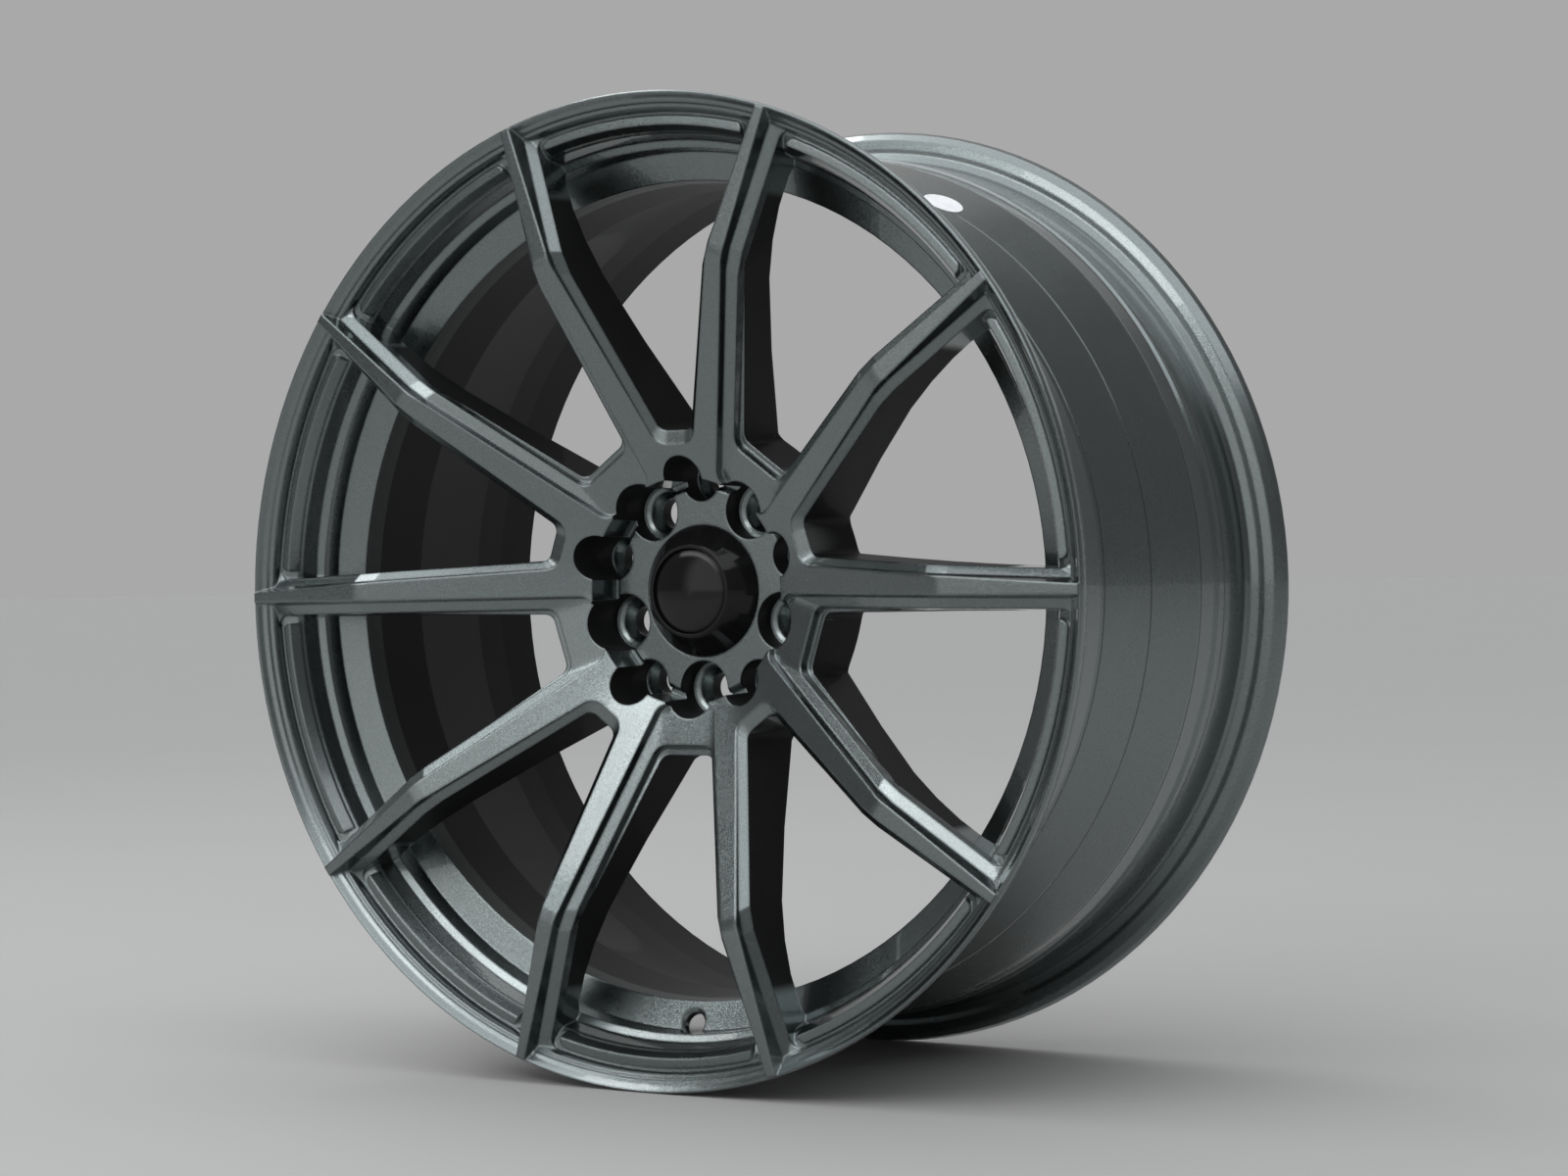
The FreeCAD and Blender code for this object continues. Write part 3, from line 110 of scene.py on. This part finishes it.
# Values of the clouds at which a patch of gloss and the spray's drift start and end.
PATCH_EDGE = (0.35, 0.72)
DRIFT_EDGE = (0.3, 0.7)
SENSOR_WIDTH = 36.0


class WheelPaintSettings(bpy.types.PropertyGroup):
    """Sizes and colours of the casting's paint."""

    paint_colour: FloatVectorProperty(
        name="Paint colour", description="Gunmetal base coat", subtype="COLOR",
        size=4, min=0.0, max=1.0, default=(0.157, 0.183, 0.183, 1.0),
    )
    # The black coat is partly real black paint and partly painted shade on the deep walls, pockets and
    # inside of the barrel.
    undercoat_and_shade_colour: FloatVectorProperty(
        name="Undercoat colour", description="Black coat left bare on deep walls and inside the barrel",
        subtype="COLOR", size=4, min=0.0, max=1.0, default=(0.0075, 0.0077, 0.0082, 1.0),
    )
    grain_size: FloatProperty(
        name="Cast grain size", description="Width of one grain of the cast skin under the black coat",
        subtype="DISTANCE", unit="LENGTH", default=0.0012,
    )
    grain_depth: FloatProperty(
        name="Cast grain depth", description="Height of the grains of the cast skin", subtype="DISTANCE",
        unit="LENGTH", default=0.00008,
    )
    flake_size: FloatProperty(
        name="Flake size", description="Width of one metal flake", subtype="DISTANCE",
        unit="LENGTH", default=0.00032,
    )
    flake_tilt: FloatProperty(
        name="Flake tilt", description="How far the flakes lean out of the surface", default=0.09,
    )
    peel_size: FloatProperty(
        name="Orange peel size", description="Width of one ripple in the clear coat", subtype="DISTANCE",
        unit="LENGTH", default=0.0022,
    )
    peel_depth: FloatProperty(
        name="Orange peel depth", description="Height of the ripples in the clear coat", subtype="DISTANCE",
        unit="LENGTH", default=0.000012,
    )
    line_width: FloatProperty(
        name="Turned line width", description="Half width of the turned lines round the barrel",
        subtype="DISTANCE", unit="LENGTH", default=0.0007,
    )
    line_depth: FloatProperty(
        name="Turned line depth", description="Depth of the turned lines round the barrel",
        subtype="DISTANCE", unit="LENGTH", default=0.0003,
    )
    edge_radius: FloatProperty(
        name="Edge radius", description="Rounding of the cast edges under the paint", subtype="DISTANCE",
        unit="LENGTH", default=0.0017,
    )


class WheelTrimSettings(bpy.types.PropertyGroup):
    """Sizes and colours of the cap, badge and sticker."""

    cap_colour: FloatVectorProperty(
        name="Cap colour", description="Gloss black plastic of the cap", subtype="COLOR",
        size=4, min=0.0, max=1.0, default=(0.007, 0.007, 0.0075, 1.0),
    )
    badge_colour: FloatVectorProperty(
        name="Badge colour", description="Black resin dome on the cap", subtype="COLOR",
        size=4, min=0.0, max=1.0, default=(0.005, 0.005, 0.0055, 1.0),
    )
    sticker_colour: FloatVectorProperty(
        name="Sticker colour", description="White paper of the sticker", subtype="COLOR",
        size=4, min=0.0, max=1.0, default=(0.82, 0.84, 0.86, 1.0),
    )
    cap_edge: FloatProperty(
        name="Cap edge", description="Rounding of the cap's moulded edges", subtype="DISTANCE",
        unit="LENGTH", default=0.0005,
    )
    badge_edge: FloatProperty(
        name="Badge edge", description="Rounding of the resin at the badge's edge", subtype="DISTANCE",
        unit="LENGTH", default=0.0042,
    )


class WheelStageSettings(bpy.types.PropertyGroup):
    """Floor and camera."""

    floor_colour: FloatVectorProperty(
        name="Floor colour", description="Pale studio floor", subtype="COLOR",
        size=4, min=0.0, max=1.0, default=(0.385, 0.383, 0.379, 1.0),
    )
    floor_level: FloatProperty(
        name="Floor level", description="Height of the floor, at the foot of the rim", subtype="DISTANCE",
        unit="LENGTH", default=CAD_BOX[0].z,
    )
    floor_radius: FloatProperty(
        name="Floor radius", description="Half width of the floor", subtype="DISTANCE",
        unit="LENGTH", default=60.0,
    )
    camera_azimuth: FloatProperty(
        name="Azimuth", description="Camera's angle round the wheel", subtype="ANGLE",
        unit="ROTATION", default=math.radians(32.5817),
    )
    camera_elevation: FloatProperty(
        name="Elevation", description="Camera's angle above the axle", subtype="ANGLE",
        unit="ROTATION", default=math.radians(0.26465),
    )
    camera_roll: FloatProperty(
        name="Roll", description="Camera's tilt about its own view", subtype="ANGLE",
        unit="ROTATION", default=math.radians(-0.84774),
    )
    camera_distance: FloatProperty(
        name="Distance", description="Camera's distance from the rim's centre", subtype="DISTANCE",
        unit="LENGTH", default=1.884941,
    )
    camera_right: FloatProperty(
        name="Right", description="Camera's shift to its right", subtype="DISTANCE",
        unit="LENGTH", default=0.010982,
    )
    camera_up: FloatProperty(
        name="Up", description="Camera's shift upwards", subtype="DISTANCE",
        unit="LENGTH", default=0.000803,
    )
    rim_centre: FloatProperty(
        name="Rim centre", description="Place of the rim's middle plane along the axle", subtype="DISTANCE",
        unit="LENGTH", default=0.030,
    )
    camera_lens: FloatProperty(
        name="Lens", description="Focal length on a 36 mm sensor", subtype="DISTANCE_CAMERA",
        unit="CAMERA", default=82.7722,
    )


def new_group(name, inputs, outputs):
    """Make a node group with named sockets and return it with its two ends."""
    group = bpy.data.node_groups.new(name, "ShaderNodeTree")
    for label, kind in inputs:
        group.interface.new_socket(name=label, in_out="INPUT", socket_type=kind)
    for label, kind in outputs:
        group.interface.new_socket(name=label, in_out="OUTPUT", socket_type=kind)
    return group, group.nodes.new("NodeGroupInput"), group.nodes.new("NodeGroupOutput")


def add(tree, kind, sockets=None, **fields):
    """Add a node, set its fields, and set or link its inputs."""
    node = tree.nodes.new(kind)
    for field, value in fields.items():
        setattr(node, field, value)
    for key, value in (sockets or {}).items():
        if isinstance(value, bpy.types.NodeSocket):
            tree.links.new(value, node.inputs[key])
        else:
            node.inputs[key].default_value = value
    return node


def math_node(tree, operation, first, second=None):
    """Add a maths node and return its value."""
    sockets = {0: first}
    if second is not None:
        sockets[1] = second
    return add(tree, "ShaderNodeMath", sockets, operation=operation).outputs[0]


def spread(tree, value, low, high, out_low=0.0, out_high=1.0):
    """Map a value smoothly from one range to another."""
    node = add(
        tree, "ShaderNodeMapRange",
        {"Value": value, "From Min": low, "From Max": high, "To Min": out_low, "To Max": out_high},
        interpolation_type="SMOOTHSTEP",
    )
    return node.outputs["Result"]


def mix_colour(tree, share, first, second):
    """Mix two colours by a share."""
    return add(tree, "ShaderNodeMix", {0: share, 6: first, 7: second}, data_type="RGBA").outputs[2]


def scaled(colour, share):
    """Darken or lighten a colour."""
    return tuple(share * c for c in colour[:3]) + (1.0,)


def flake_group():
    """Random leaning metal flakes: a shade for each and the normal that it shows."""
    group, ends, out = new_group(
        "Metal flake",
        [("Vector", "NodeSocketVector"), ("Normal", "NodeSocketVector"),
         ("Scale", "NodeSocketFloat"), ("Tilt", "NodeSocketFloat")],
        [("Shade", "NodeSocketFloat"), ("Normal", "NodeSocketVector")],
    )
    cells = add(
        group, "ShaderNodeTexVoronoi", {"Vector": ends.outputs["Vector"], "Scale": ends.outputs["Scale"]},
    )
    lean = add(
        group, "ShaderNodeVectorMath", {0: cells.outputs["Color"], 1: (0.5, 0.5, 0.5)},
        operation="SUBTRACT",
    )
    leaned = add(
        group, "ShaderNodeVectorMath", {0: lean.outputs[0], "Scale": ends.outputs["Tilt"]},
        operation="SCALE",
    )
    total = add(
        group, "ShaderNodeVectorMath", {0: leaned.outputs[0], 1: ends.outputs["Normal"]},
        operation="ADD",
    )
    unit = add(group, "ShaderNodeVectorMath", {0: total.outputs[0]}, operation="NORMALIZE")
    grey = add(group, "ShaderNodeSeparateColor", {"Color": cells.outputs["Color"]})
    group.links.new(grey.outputs[0], out.inputs["Shade"])
    group.links.new(unit.outputs[0], out.inputs["Normal"])
    return group


def smear_group():
    """Uneven gloss, as handling and fine dust leave it."""
    group, ends, out = new_group(
        "Handled gloss",
        [("Vector", "NodeSocketVector"), ("Scale", "NodeSocketFloat"),
         ("Low", "NodeSocketFloat"), ("High", "NodeSocketFloat")],
        [("Roughness", "NodeSocketFloat"), ("Patch", "NodeSocketFloat")],
    )
    cloud = add(
        group, "ShaderNodeTexNoise",
        {"Vector": ends.outputs["Vector"], "Scale": ends.outputs["Scale"],
         "Detail": 5.0, "Roughness": 0.62},
    )
    patch = spread(group, cloud.outputs["Fac"], *PATCH_EDGE)
    rough = add(
        group, "ShaderNodeMapRange",
        {"Value": patch, "To Min": ends.outputs["Low"], "To Max": ends.outputs["High"]},
    )
    group.links.new(rough.outputs["Result"], out.inputs["Roughness"])
    group.links.new(patch, out.inputs["Patch"])
    return group


def place_group(tree, group, sockets):
    """Place a node group in a material with its own values."""
    return add(tree, "ShaderNodeGroup", sockets, node_tree=group)


def shared(name, maker):
    """Return a node group, made the first time that it is asked for."""
    return bpy.data.node_groups.get(name) or maker()


def new_material(name):
    """Make an empty material with its shader, and return both with its tree."""
    material = bpy.data.materials.new(name)
    material.use_nodes = True
    tree = material.node_tree
    shader = tree.nodes["Principled BSDF"]
    return material, tree, shader


def feed(tree, shader, links):
    """Link outputs to the shader's inputs by name."""
    for key, value in links.items():
        tree.links.new(value, shader.inputs[key])


def dress(node, material):
    """Give a frame node its material."""
    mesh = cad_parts[node].data
    mesh.materials.clear()
    mesh.materials.append(material)


class WHEEL_OT_paint_casting(bpy.types.Operator):
    """Paint the casting gunmetal with metal flake under clear coat"""

    bl_idname = "wheel.paint_casting"
    bl_label = "Paint casting"

    def execute(self, context):
        paint = context.scene.wheel_paint
        material, tree, shader = new_material("gunmetal_paint")
        texture = add(tree, "ShaderNodeTexCoord")
        place = texture.outputs["Object"]
        spot = add(tree, "ShaderNodeSeparateXYZ", {0: place})
        radius, lean = self.radial(tree, spot, texture.outputs["Normal"])
        in_rim = spread(tree, radius, *RIM_START)
        outside = math_node(tree, "MULTIPLY", in_rim, spread(tree, lean, *OUTSIDE_LEAN))
        inside = math_node(tree, "MULTIPLY", in_rim, spread(tree, lean, *INSIDE_LEAN))
        # Black coat mask: partly real black paint, partly painted shade that darkens the deep walls, lug
        # pockets and inside of the barrel.
        under = self.undercoat_and_shade(tree, place, texture.outputs["Normal"], spot, radius, outside, inside)
        lines = math_node(tree, "MULTIPLY", self.turned_lines(tree, spot, paint.line_width), outside)
        bevel = add(tree, "ShaderNodeBevel", {"Radius": paint.edge_radius}, samples=4)
        rounded = add(
            tree, "ShaderNodeBump",
            {"Height": lines, "Distance": paint.line_depth, "Strength": 1.0, "Normal": bevel.outputs[0]},
            invert=True,
        ).outputs[0]
        flake = place_group(
            tree, shared("Metal flake", flake_group),
            {"Vector": place, "Normal": rounded, "Scale": 1.0 / paint.flake_size, "Tilt": paint.flake_tilt},
        )
        gloss = place_group(
            tree, shared("Handled gloss", smear_group),
            {"Vector": place, "Scale": PAINT_PATCHES,
             "Low": PAINT_ROUGHNESS[0], "High": PAINT_ROUGHNESS[1]},
        )
        flakes = mix_colour(
            tree, flake.outputs["Shade"],
            scaled(paint.paint_colour, DARK_FLAKE), scaled(paint.paint_colour, LIGHT_FLAKE),
        )
        # The turned lines darken the paint's colour: painted shade in the grooves.
        top_coat = mix_colour(tree, lines, flakes, scaled(paint.paint_colour, LINE_PAINTED_SHADE))
        skin = add(
            tree, "ShaderNodeTexNoise", {"Vector": place, "Scale": 1.0 / paint.grain_size, "Detail": 3.0},
        )
        rough_skin = add(
            tree, "ShaderNodeBump",
            {"Height": skin.outputs["Fac"], "Distance": paint.grain_depth, "Strength": under,
             "Normal": flake.outputs["Normal"]},
        )
        ripple = add(
            tree, "ShaderNodeTexNoise", {"Vector": place, "Scale": 1.0 / paint.peel_size, "Detail": 1.0},
        )
        coat = add(
            tree, "ShaderNodeBump",
            {"Height": ripple.outputs["Fac"], "Distance": paint.peel_depth, "Strength": 1.0,
             "Normal": rounded},
        )
        shader.inputs["Coat Roughness"].default_value = CLEAR_ROUGHNESS
        shader.inputs["Specular IOR Level"].default_value = PAINT_SHINE
        feed(tree, shader, {
            # Base colour: the black coat, partly painted shade, laid over the gunmetal.
            "Base Color": mix_colour(tree, under, top_coat, tuple(paint.undercoat_and_shade_colour)),
            "Metallic": spread(tree, under, 0.0, 1.0, 1.0, 0.0),
            "Roughness": add(
                tree, "ShaderNodeMix", {0: under, 2: gloss.outputs["Roughness"], 3: UNDER_ROUGHNESS},
            ).outputs[0],
            "Coat Weight": spread(tree, under, 0.0, 1.0, 1.0, UNDER_CLEAR),
            "Normal": rough_skin.outputs[0],
            "Coat Normal": coat.outputs[0],
        })
        dress("wheel_casting", material)
        return {"FINISHED"}

    def radial(self, tree, spot, normal):
        """Distance from the axle, and how far the surface faces away from it."""
        across = add(
            tree, "ShaderNodeCombineXYZ", {"X": spot.outputs["X"], "Z": spot.outputs["Z"]},
        ).outputs[0]
        radius = add(tree, "ShaderNodeVectorMath", {0: across}, operation="LENGTH").outputs["Value"]
        outward = add(tree, "ShaderNodeVectorMath", {0: across, 1: normal}, operation="DOT_PRODUCT")
        return radius, math_node(tree, "DIVIDE", outward.outputs["Value"], radius)

    def turned_lines(self, tree, spot, width):
        """Depth of the turned lines, one at the middle of each."""
        total = 0.0
        for place in TURNED_LINES:
            away = math_node(tree, "ABSOLUTE", math_node(tree, "SUBTRACT", spot.outputs["Y"], place))
            total = math_node(tree, "ADD", spread(tree, away, width, 0.0), total)
        return total

    def undercoat_and_shade(self, tree, place, normal, spot, radius, outside, inside):
        """Mask of the black coat, partly real black paint and partly painted shade: deep walls, lug
        pockets, backs of the spokes and inside of the barrel.
        """
        facing = add(tree, "ShaderNodeSeparateXYZ", {0: normal})
        mist = add(tree, "ShaderNodeTexNoise", {"Vector": place, "Scale": SPRAY_CLOUDS, "Detail": 3.0})
        drift = spread(tree, mist.outputs["Fac"], *DRIFT_EDGE, -SPRAY_DRIFT, SPRAY_DRIFT)
        back = math_node(tree, "ADD", facing.outputs["Y"], drift)
        # Back-facing walls: partly black paint the spray missed, partly painted shade.
        unsprayed_shade = spread(tree, back, *UNSPRAYED_SHADE)
        past_band = spread(tree, spot.outputs["Y"], *BAND_FOOT)
        in_spokes = math_node(
            tree, "MULTIPLY", spread(tree, radius, *SPOKE_END), math_node(tree, "SUBTRACT", 1.0, outside),
        )
        in_window = spread(tree, radius, *HUB_EDGE)
        cut_out = math_node(tree, "MAXIMUM", in_window, self.pockets(tree, spot, radius))
        walls = math_node(tree, "MULTIPLY", unsprayed_shade, math_node(tree, "MULTIPLY", in_spokes, cut_out))
        return math_node(tree, "MAXIMUM", walls, math_node(tree, "MULTIPLY", inside, past_band))

    def pockets(self, tree, spot, radius):
        """Mask of the lug pockets, on one fifth of the hub folded over on itself."""
        angle = math_node(tree, "ARCTAN2", spot.outputs["X"], spot.outputs["Z"])
        fold = add(tree, "ShaderNodeMath", {0: angle, 1: LUG_FOLD, 2: -LUG_FOLD}, operation="WRAP")
        folded = add(tree, "ShaderNodeCombineXYZ", {
            "X": math_node(tree, "MULTIPLY", radius, math_node(tree, "COSINE", fold.outputs[0])),
            "Y": math_node(tree, "ABSOLUTE", math_node(
                tree, "MULTIPLY", radius, math_node(tree, "SINE", fold.outputs[0]))),
        }).outputs[0]
        masks = []
        for circle, turn, bore in LUG_POCKETS:
            centre = (circle * math.cos(turn), circle * math.sin(turn), 0.0)
            away = add(tree, "ShaderNodeVectorMath", {0: folded, 1: centre}, operation="DISTANCE")
            masks.append(spread(tree, away.outputs["Value"], *(bore + fade for fade in POCKET_FADE)))
        return math_node(tree, "MAXIMUM", *masks)


class WHEEL_OT_finish_cap(bpy.types.Operator):
    """Give the cap and its badge their gloss black plastic"""

    bl_idname = "wheel.finish_cap"
    bl_label = "Finish cap and badge"

    def execute(self, context):
        trim = context.scene.wheel_trim
        for node, colour, edge, shine, rough in (
            ("centre_cap", trim.cap_colour, trim.cap_edge, CAP_SHINE, CAP_ROUGHNESS),
            ("cap_badge", trim.badge_colour, trim.badge_edge, BADGE_SHINE, BADGE_ROUGHNESS),
        ):
            material, tree, shader = new_material(f"{node}_plastic")
            place = add(tree, "ShaderNodeTexCoord").outputs["Object"]
            gloss = place_group(
                tree, shared("Handled gloss", smear_group),
                {"Vector": place, "Scale": CAP_PATCHES, "Low": rough[0], "High": rough[1]},
            )
            lint = add(tree, "ShaderNodeTexVoronoi", {"Vector": place, "Scale": DUST_SPOTS})
            speck = spread(tree, lint.outputs["Distance"], *DUST_SIZE, 0.0, DUST_SHARE)
            dusty = math_node(tree, "MULTIPLY", speck, gloss.outputs["Patch"])
            tint = mix_colour(tree, dusty, tuple(colour), DUST_COLOUR)
            rounded = add(tree, "ShaderNodeBevel", {"Radius": edge}, samples=6)
            shader.inputs["Specular IOR Level"].default_value = shine
            feed(tree, shader, {
                "Base Color": tint,
                "Roughness": gloss.outputs["Roughness"],
                "Normal": rounded.outputs[0],
            })
            dress(node, material)
        return {"FINISHED"}


class WHEEL_OT_finish_sticker(bpy.types.Operator):
    """Give the barrel's sticker its white paper"""

    bl_idname = "wheel.finish_sticker"
    bl_label = "Finish sticker"

    def execute(self, context):
        trim = context.scene.wheel_trim
        material, tree, shader = new_material("sticker_paper")
        place = add(tree, "ShaderNodeTexCoord").outputs["Object"]
        gloss = place_group(
            tree, shared("Handled gloss", smear_group),
            {"Vector": place, "Scale": STICKER_PATCHES,
             "Low": STICKER_ROUGHNESS[0], "High": STICKER_ROUGHNESS[1]},
        )
        fibre = add(tree, "ShaderNodeTexNoise", {"Vector": place, "Scale": FIBRES, "Detail": 3.0})
        grain = add(
            tree, "ShaderNodeBump",
            {"Height": fibre.outputs["Fac"], "Distance": FIBRE_DEPTH, "Strength": FIBRE_SHOW},
        )
        soiled = scaled(trim.sticker_colour, STICKER_SOIL)
        tint = mix_colour(tree, gloss.outputs["Patch"], tuple(trim.sticker_colour), soiled)
        feed(tree, shader, {
            "Base Color": tint,
            "Roughness": gloss.outputs["Roughness"],
            "Normal": grain.outputs[0],
        })
        dress("sticker", material)
        return {"FINISHED"}


class WHEEL_OT_set_stage(bpy.types.Operator):
    """Lay the floor, hang the light and place the camera"""

    bl_idname = "wheel.set_stage"
    bl_label = "Set stage"

    def execute(self, context):
        stage = context.scene.wheel_stage
        self.lay_floor(context, stage)
        self.hang_light(context)
        self.place_camera(context, stage)
        context.scene.view_settings.view_transform = "Standard"
        return {"FINISHED"}

    def lay_floor(self, context, stage):
        """Lay the pale floor at the foot of the rim."""
        mesh = bpy.data.meshes.new("floor")
        shape = bmesh.new()
        bmesh.ops.create_circle(shape, cap_ends=True, segments=96, radius=stage.floor_radius)
        shape.to_mesh(mesh)
        shape.free()
        floor = bpy.data.objects.new("floor", mesh)
        floor.location.z = stage.floor_level
        context.scene.collection.objects.link(floor)
        material, tree, shader = new_material("studio_floor")
        place = add(tree, "ShaderNodeTexCoord").outputs["Object"]
        mottle = add(
            tree, "ShaderNodeTexNoise", {"Vector": place, "Scale": FLOOR_PATCHES, "Detail": 4.0},
        )
        worn = scaled(stage.floor_colour, FLOOR_WEAR)
        colour = mix_colour(tree, mottle.outputs["Fac"], tuple(stage.floor_colour), worn)
        shader.inputs["Roughness"].default_value = FLOOR_ROUGHNESS
        feed(tree, shader, {"Base Color": colour})
        mesh.materials.append(material)

    def hang_light(self, context):
        """Light the world by direction and hang the lamps."""
        world = bpy.data.worlds.new("studio_light")
        world.use_nodes = True
        context.scene.world = world
        tree = world.node_tree
        back = tree.nodes["Background"]
        view = add(tree, "ShaderNodeTexCoord").outputs["Generated"]
        height = add(tree, "ShaderNodeSeparateXYZ", {0: view}).outputs["Z"]
        level = SIDE_LEVEL
        for side, edge, shade in (BACKDROP, FRONT_WALL):
            toward = add(tree, "ShaderNodeVectorMath", {0: view, 1: side}, operation="DOT_PRODUCT")
            share = spread(tree, toward.outputs["Value"], edge - EDGE_BLUR, edge + EDGE_BLUR)
            level = add(tree, "ShaderNodeMix", {0: share, 2: level, 3: shade}).outputs[0]
        for side, edge, rise in FLAGS:
            toward = add(tree, "ShaderNodeVectorMath", {0: view, 1: side}, operation="DOT_PRODUCT")
            flag = spread(tree, toward.outputs["Value"], *edge, 0.0, rise)
            height = math_node(tree, "SUBTRACT", height, flag)
        sky = spread(tree, height, *SKY_EDGE)
        tint = mix_colour(tree, sky, WHITE, SKY_TINT)
        strength = add(tree, "ShaderNodeMix", {0: sky, 2: level, 3: SKY_LEVEL}).outputs[0]
        tree.links.new(tint, back.inputs["Color"])
        tree.links.new(strength, back.inputs["Strength"])
        for lamp in LAMPS:
            self.hang_lamp(context, *lamp)

    def hang_lamp(self, context, name, place, width, depth, power):
        """Hang one soft lamp and aim it at the hub."""
        lamp = bpy.data.lights.new(name, "AREA")
        lamp.shape = "RECTANGLE"
        lamp.size = width
        lamp.size_y = depth
        lamp.energy = power
        hung = bpy.data.objects.new(name, lamp)
        hung.location = place
        hung.rotation_euler = (-Vector(place)).to_track_quat("-Z", "Y").to_euler()
        context.scene.collection.objects.link(hung)

    def place_camera(self, context, stage):
        """Place the camera round the rim's centre."""
        turn, lift, roll = stage.camera_azimuth, stage.camera_elevation, stage.camera_roll
        back = Vector((math.sin(turn) * math.cos(lift), -math.cos(turn) * math.cos(lift), math.sin(lift)))
        right = Vector((math.cos(turn), math.sin(turn), 0.0))
        up = back.cross(right)
        level_right = right * math.cos(roll) + up * math.sin(roll)
        level_up = up * math.cos(roll) - right * math.sin(roll)
        place = back * stage.camera_distance + level_right * stage.camera_right + level_up * stage.camera_up
        place.y += stage.rim_centre
        lens = bpy.data.cameras.new("camera")
        lens.sensor_width = SENSOR_WIDTH
        lens.lens = stage.camera_lens
        camera = bpy.data.objects.new("camera", lens)
        camera.matrix_world = Matrix((level_right, level_up, back)).transposed().to_4x4()
        camera.location = place
        context.scene.collection.objects.link(camera)
        context.scene.camera = camera


class WHEEL_PT_dressing(bpy.types.Panel):
    """Lists the wheel's pieces and settings"""

    bl_label = "Alloy wheel"
    bl_idname = "WHEEL_PT_dressing"
    bl_space_type = "VIEW_3D"
    bl_region_type = "UI"
    bl_category = "Wheel"

    def draw(self, context):
        for operator in OPERATORS:
            self.layout.operator(operator.bl_idname)
        for group in (context.scene.wheel_paint, context.scene.wheel_trim, context.scene.wheel_stage):
            box = self.layout.box()
            for name in group.__annotations__:
                box.prop(group, name)


SETTINGS = (WheelPaintSettings, WheelTrimSettings, WheelStageSettings)
OPERATORS = (
    WHEEL_OT_paint_casting,
    WHEEL_OT_finish_cap,
    WHEEL_OT_finish_sticker,
    WHEEL_OT_set_stage,
)


def register():
    for kind in SETTINGS + OPERATORS + (WHEEL_PT_dressing,):
        bpy.utils.register_class(kind)
    bpy.types.Scene.wheel_paint = PointerProperty(type=WheelPaintSettings)
    bpy.types.Scene.wheel_trim = PointerProperty(type=WheelTrimSettings)
    bpy.types.Scene.wheel_stage = PointerProperty(type=WheelStageSettings)


def unregister():
    del bpy.types.Scene.wheel_stage
    del bpy.types.Scene.wheel_trim
    del bpy.types.Scene.wheel_paint
    for kind in reversed(SETTINGS + OPERATORS + (WHEEL_PT_dressing,)):
        bpy.utils.unregister_class(kind)


def main():
    register()
    bpy.ops.wheel.paint_casting()
    bpy.ops.wheel.finish_cap()
    bpy.ops.wheel.finish_sticker()
    bpy.ops.wheel.set_stage()


if __name__ == "__main__":
    main()
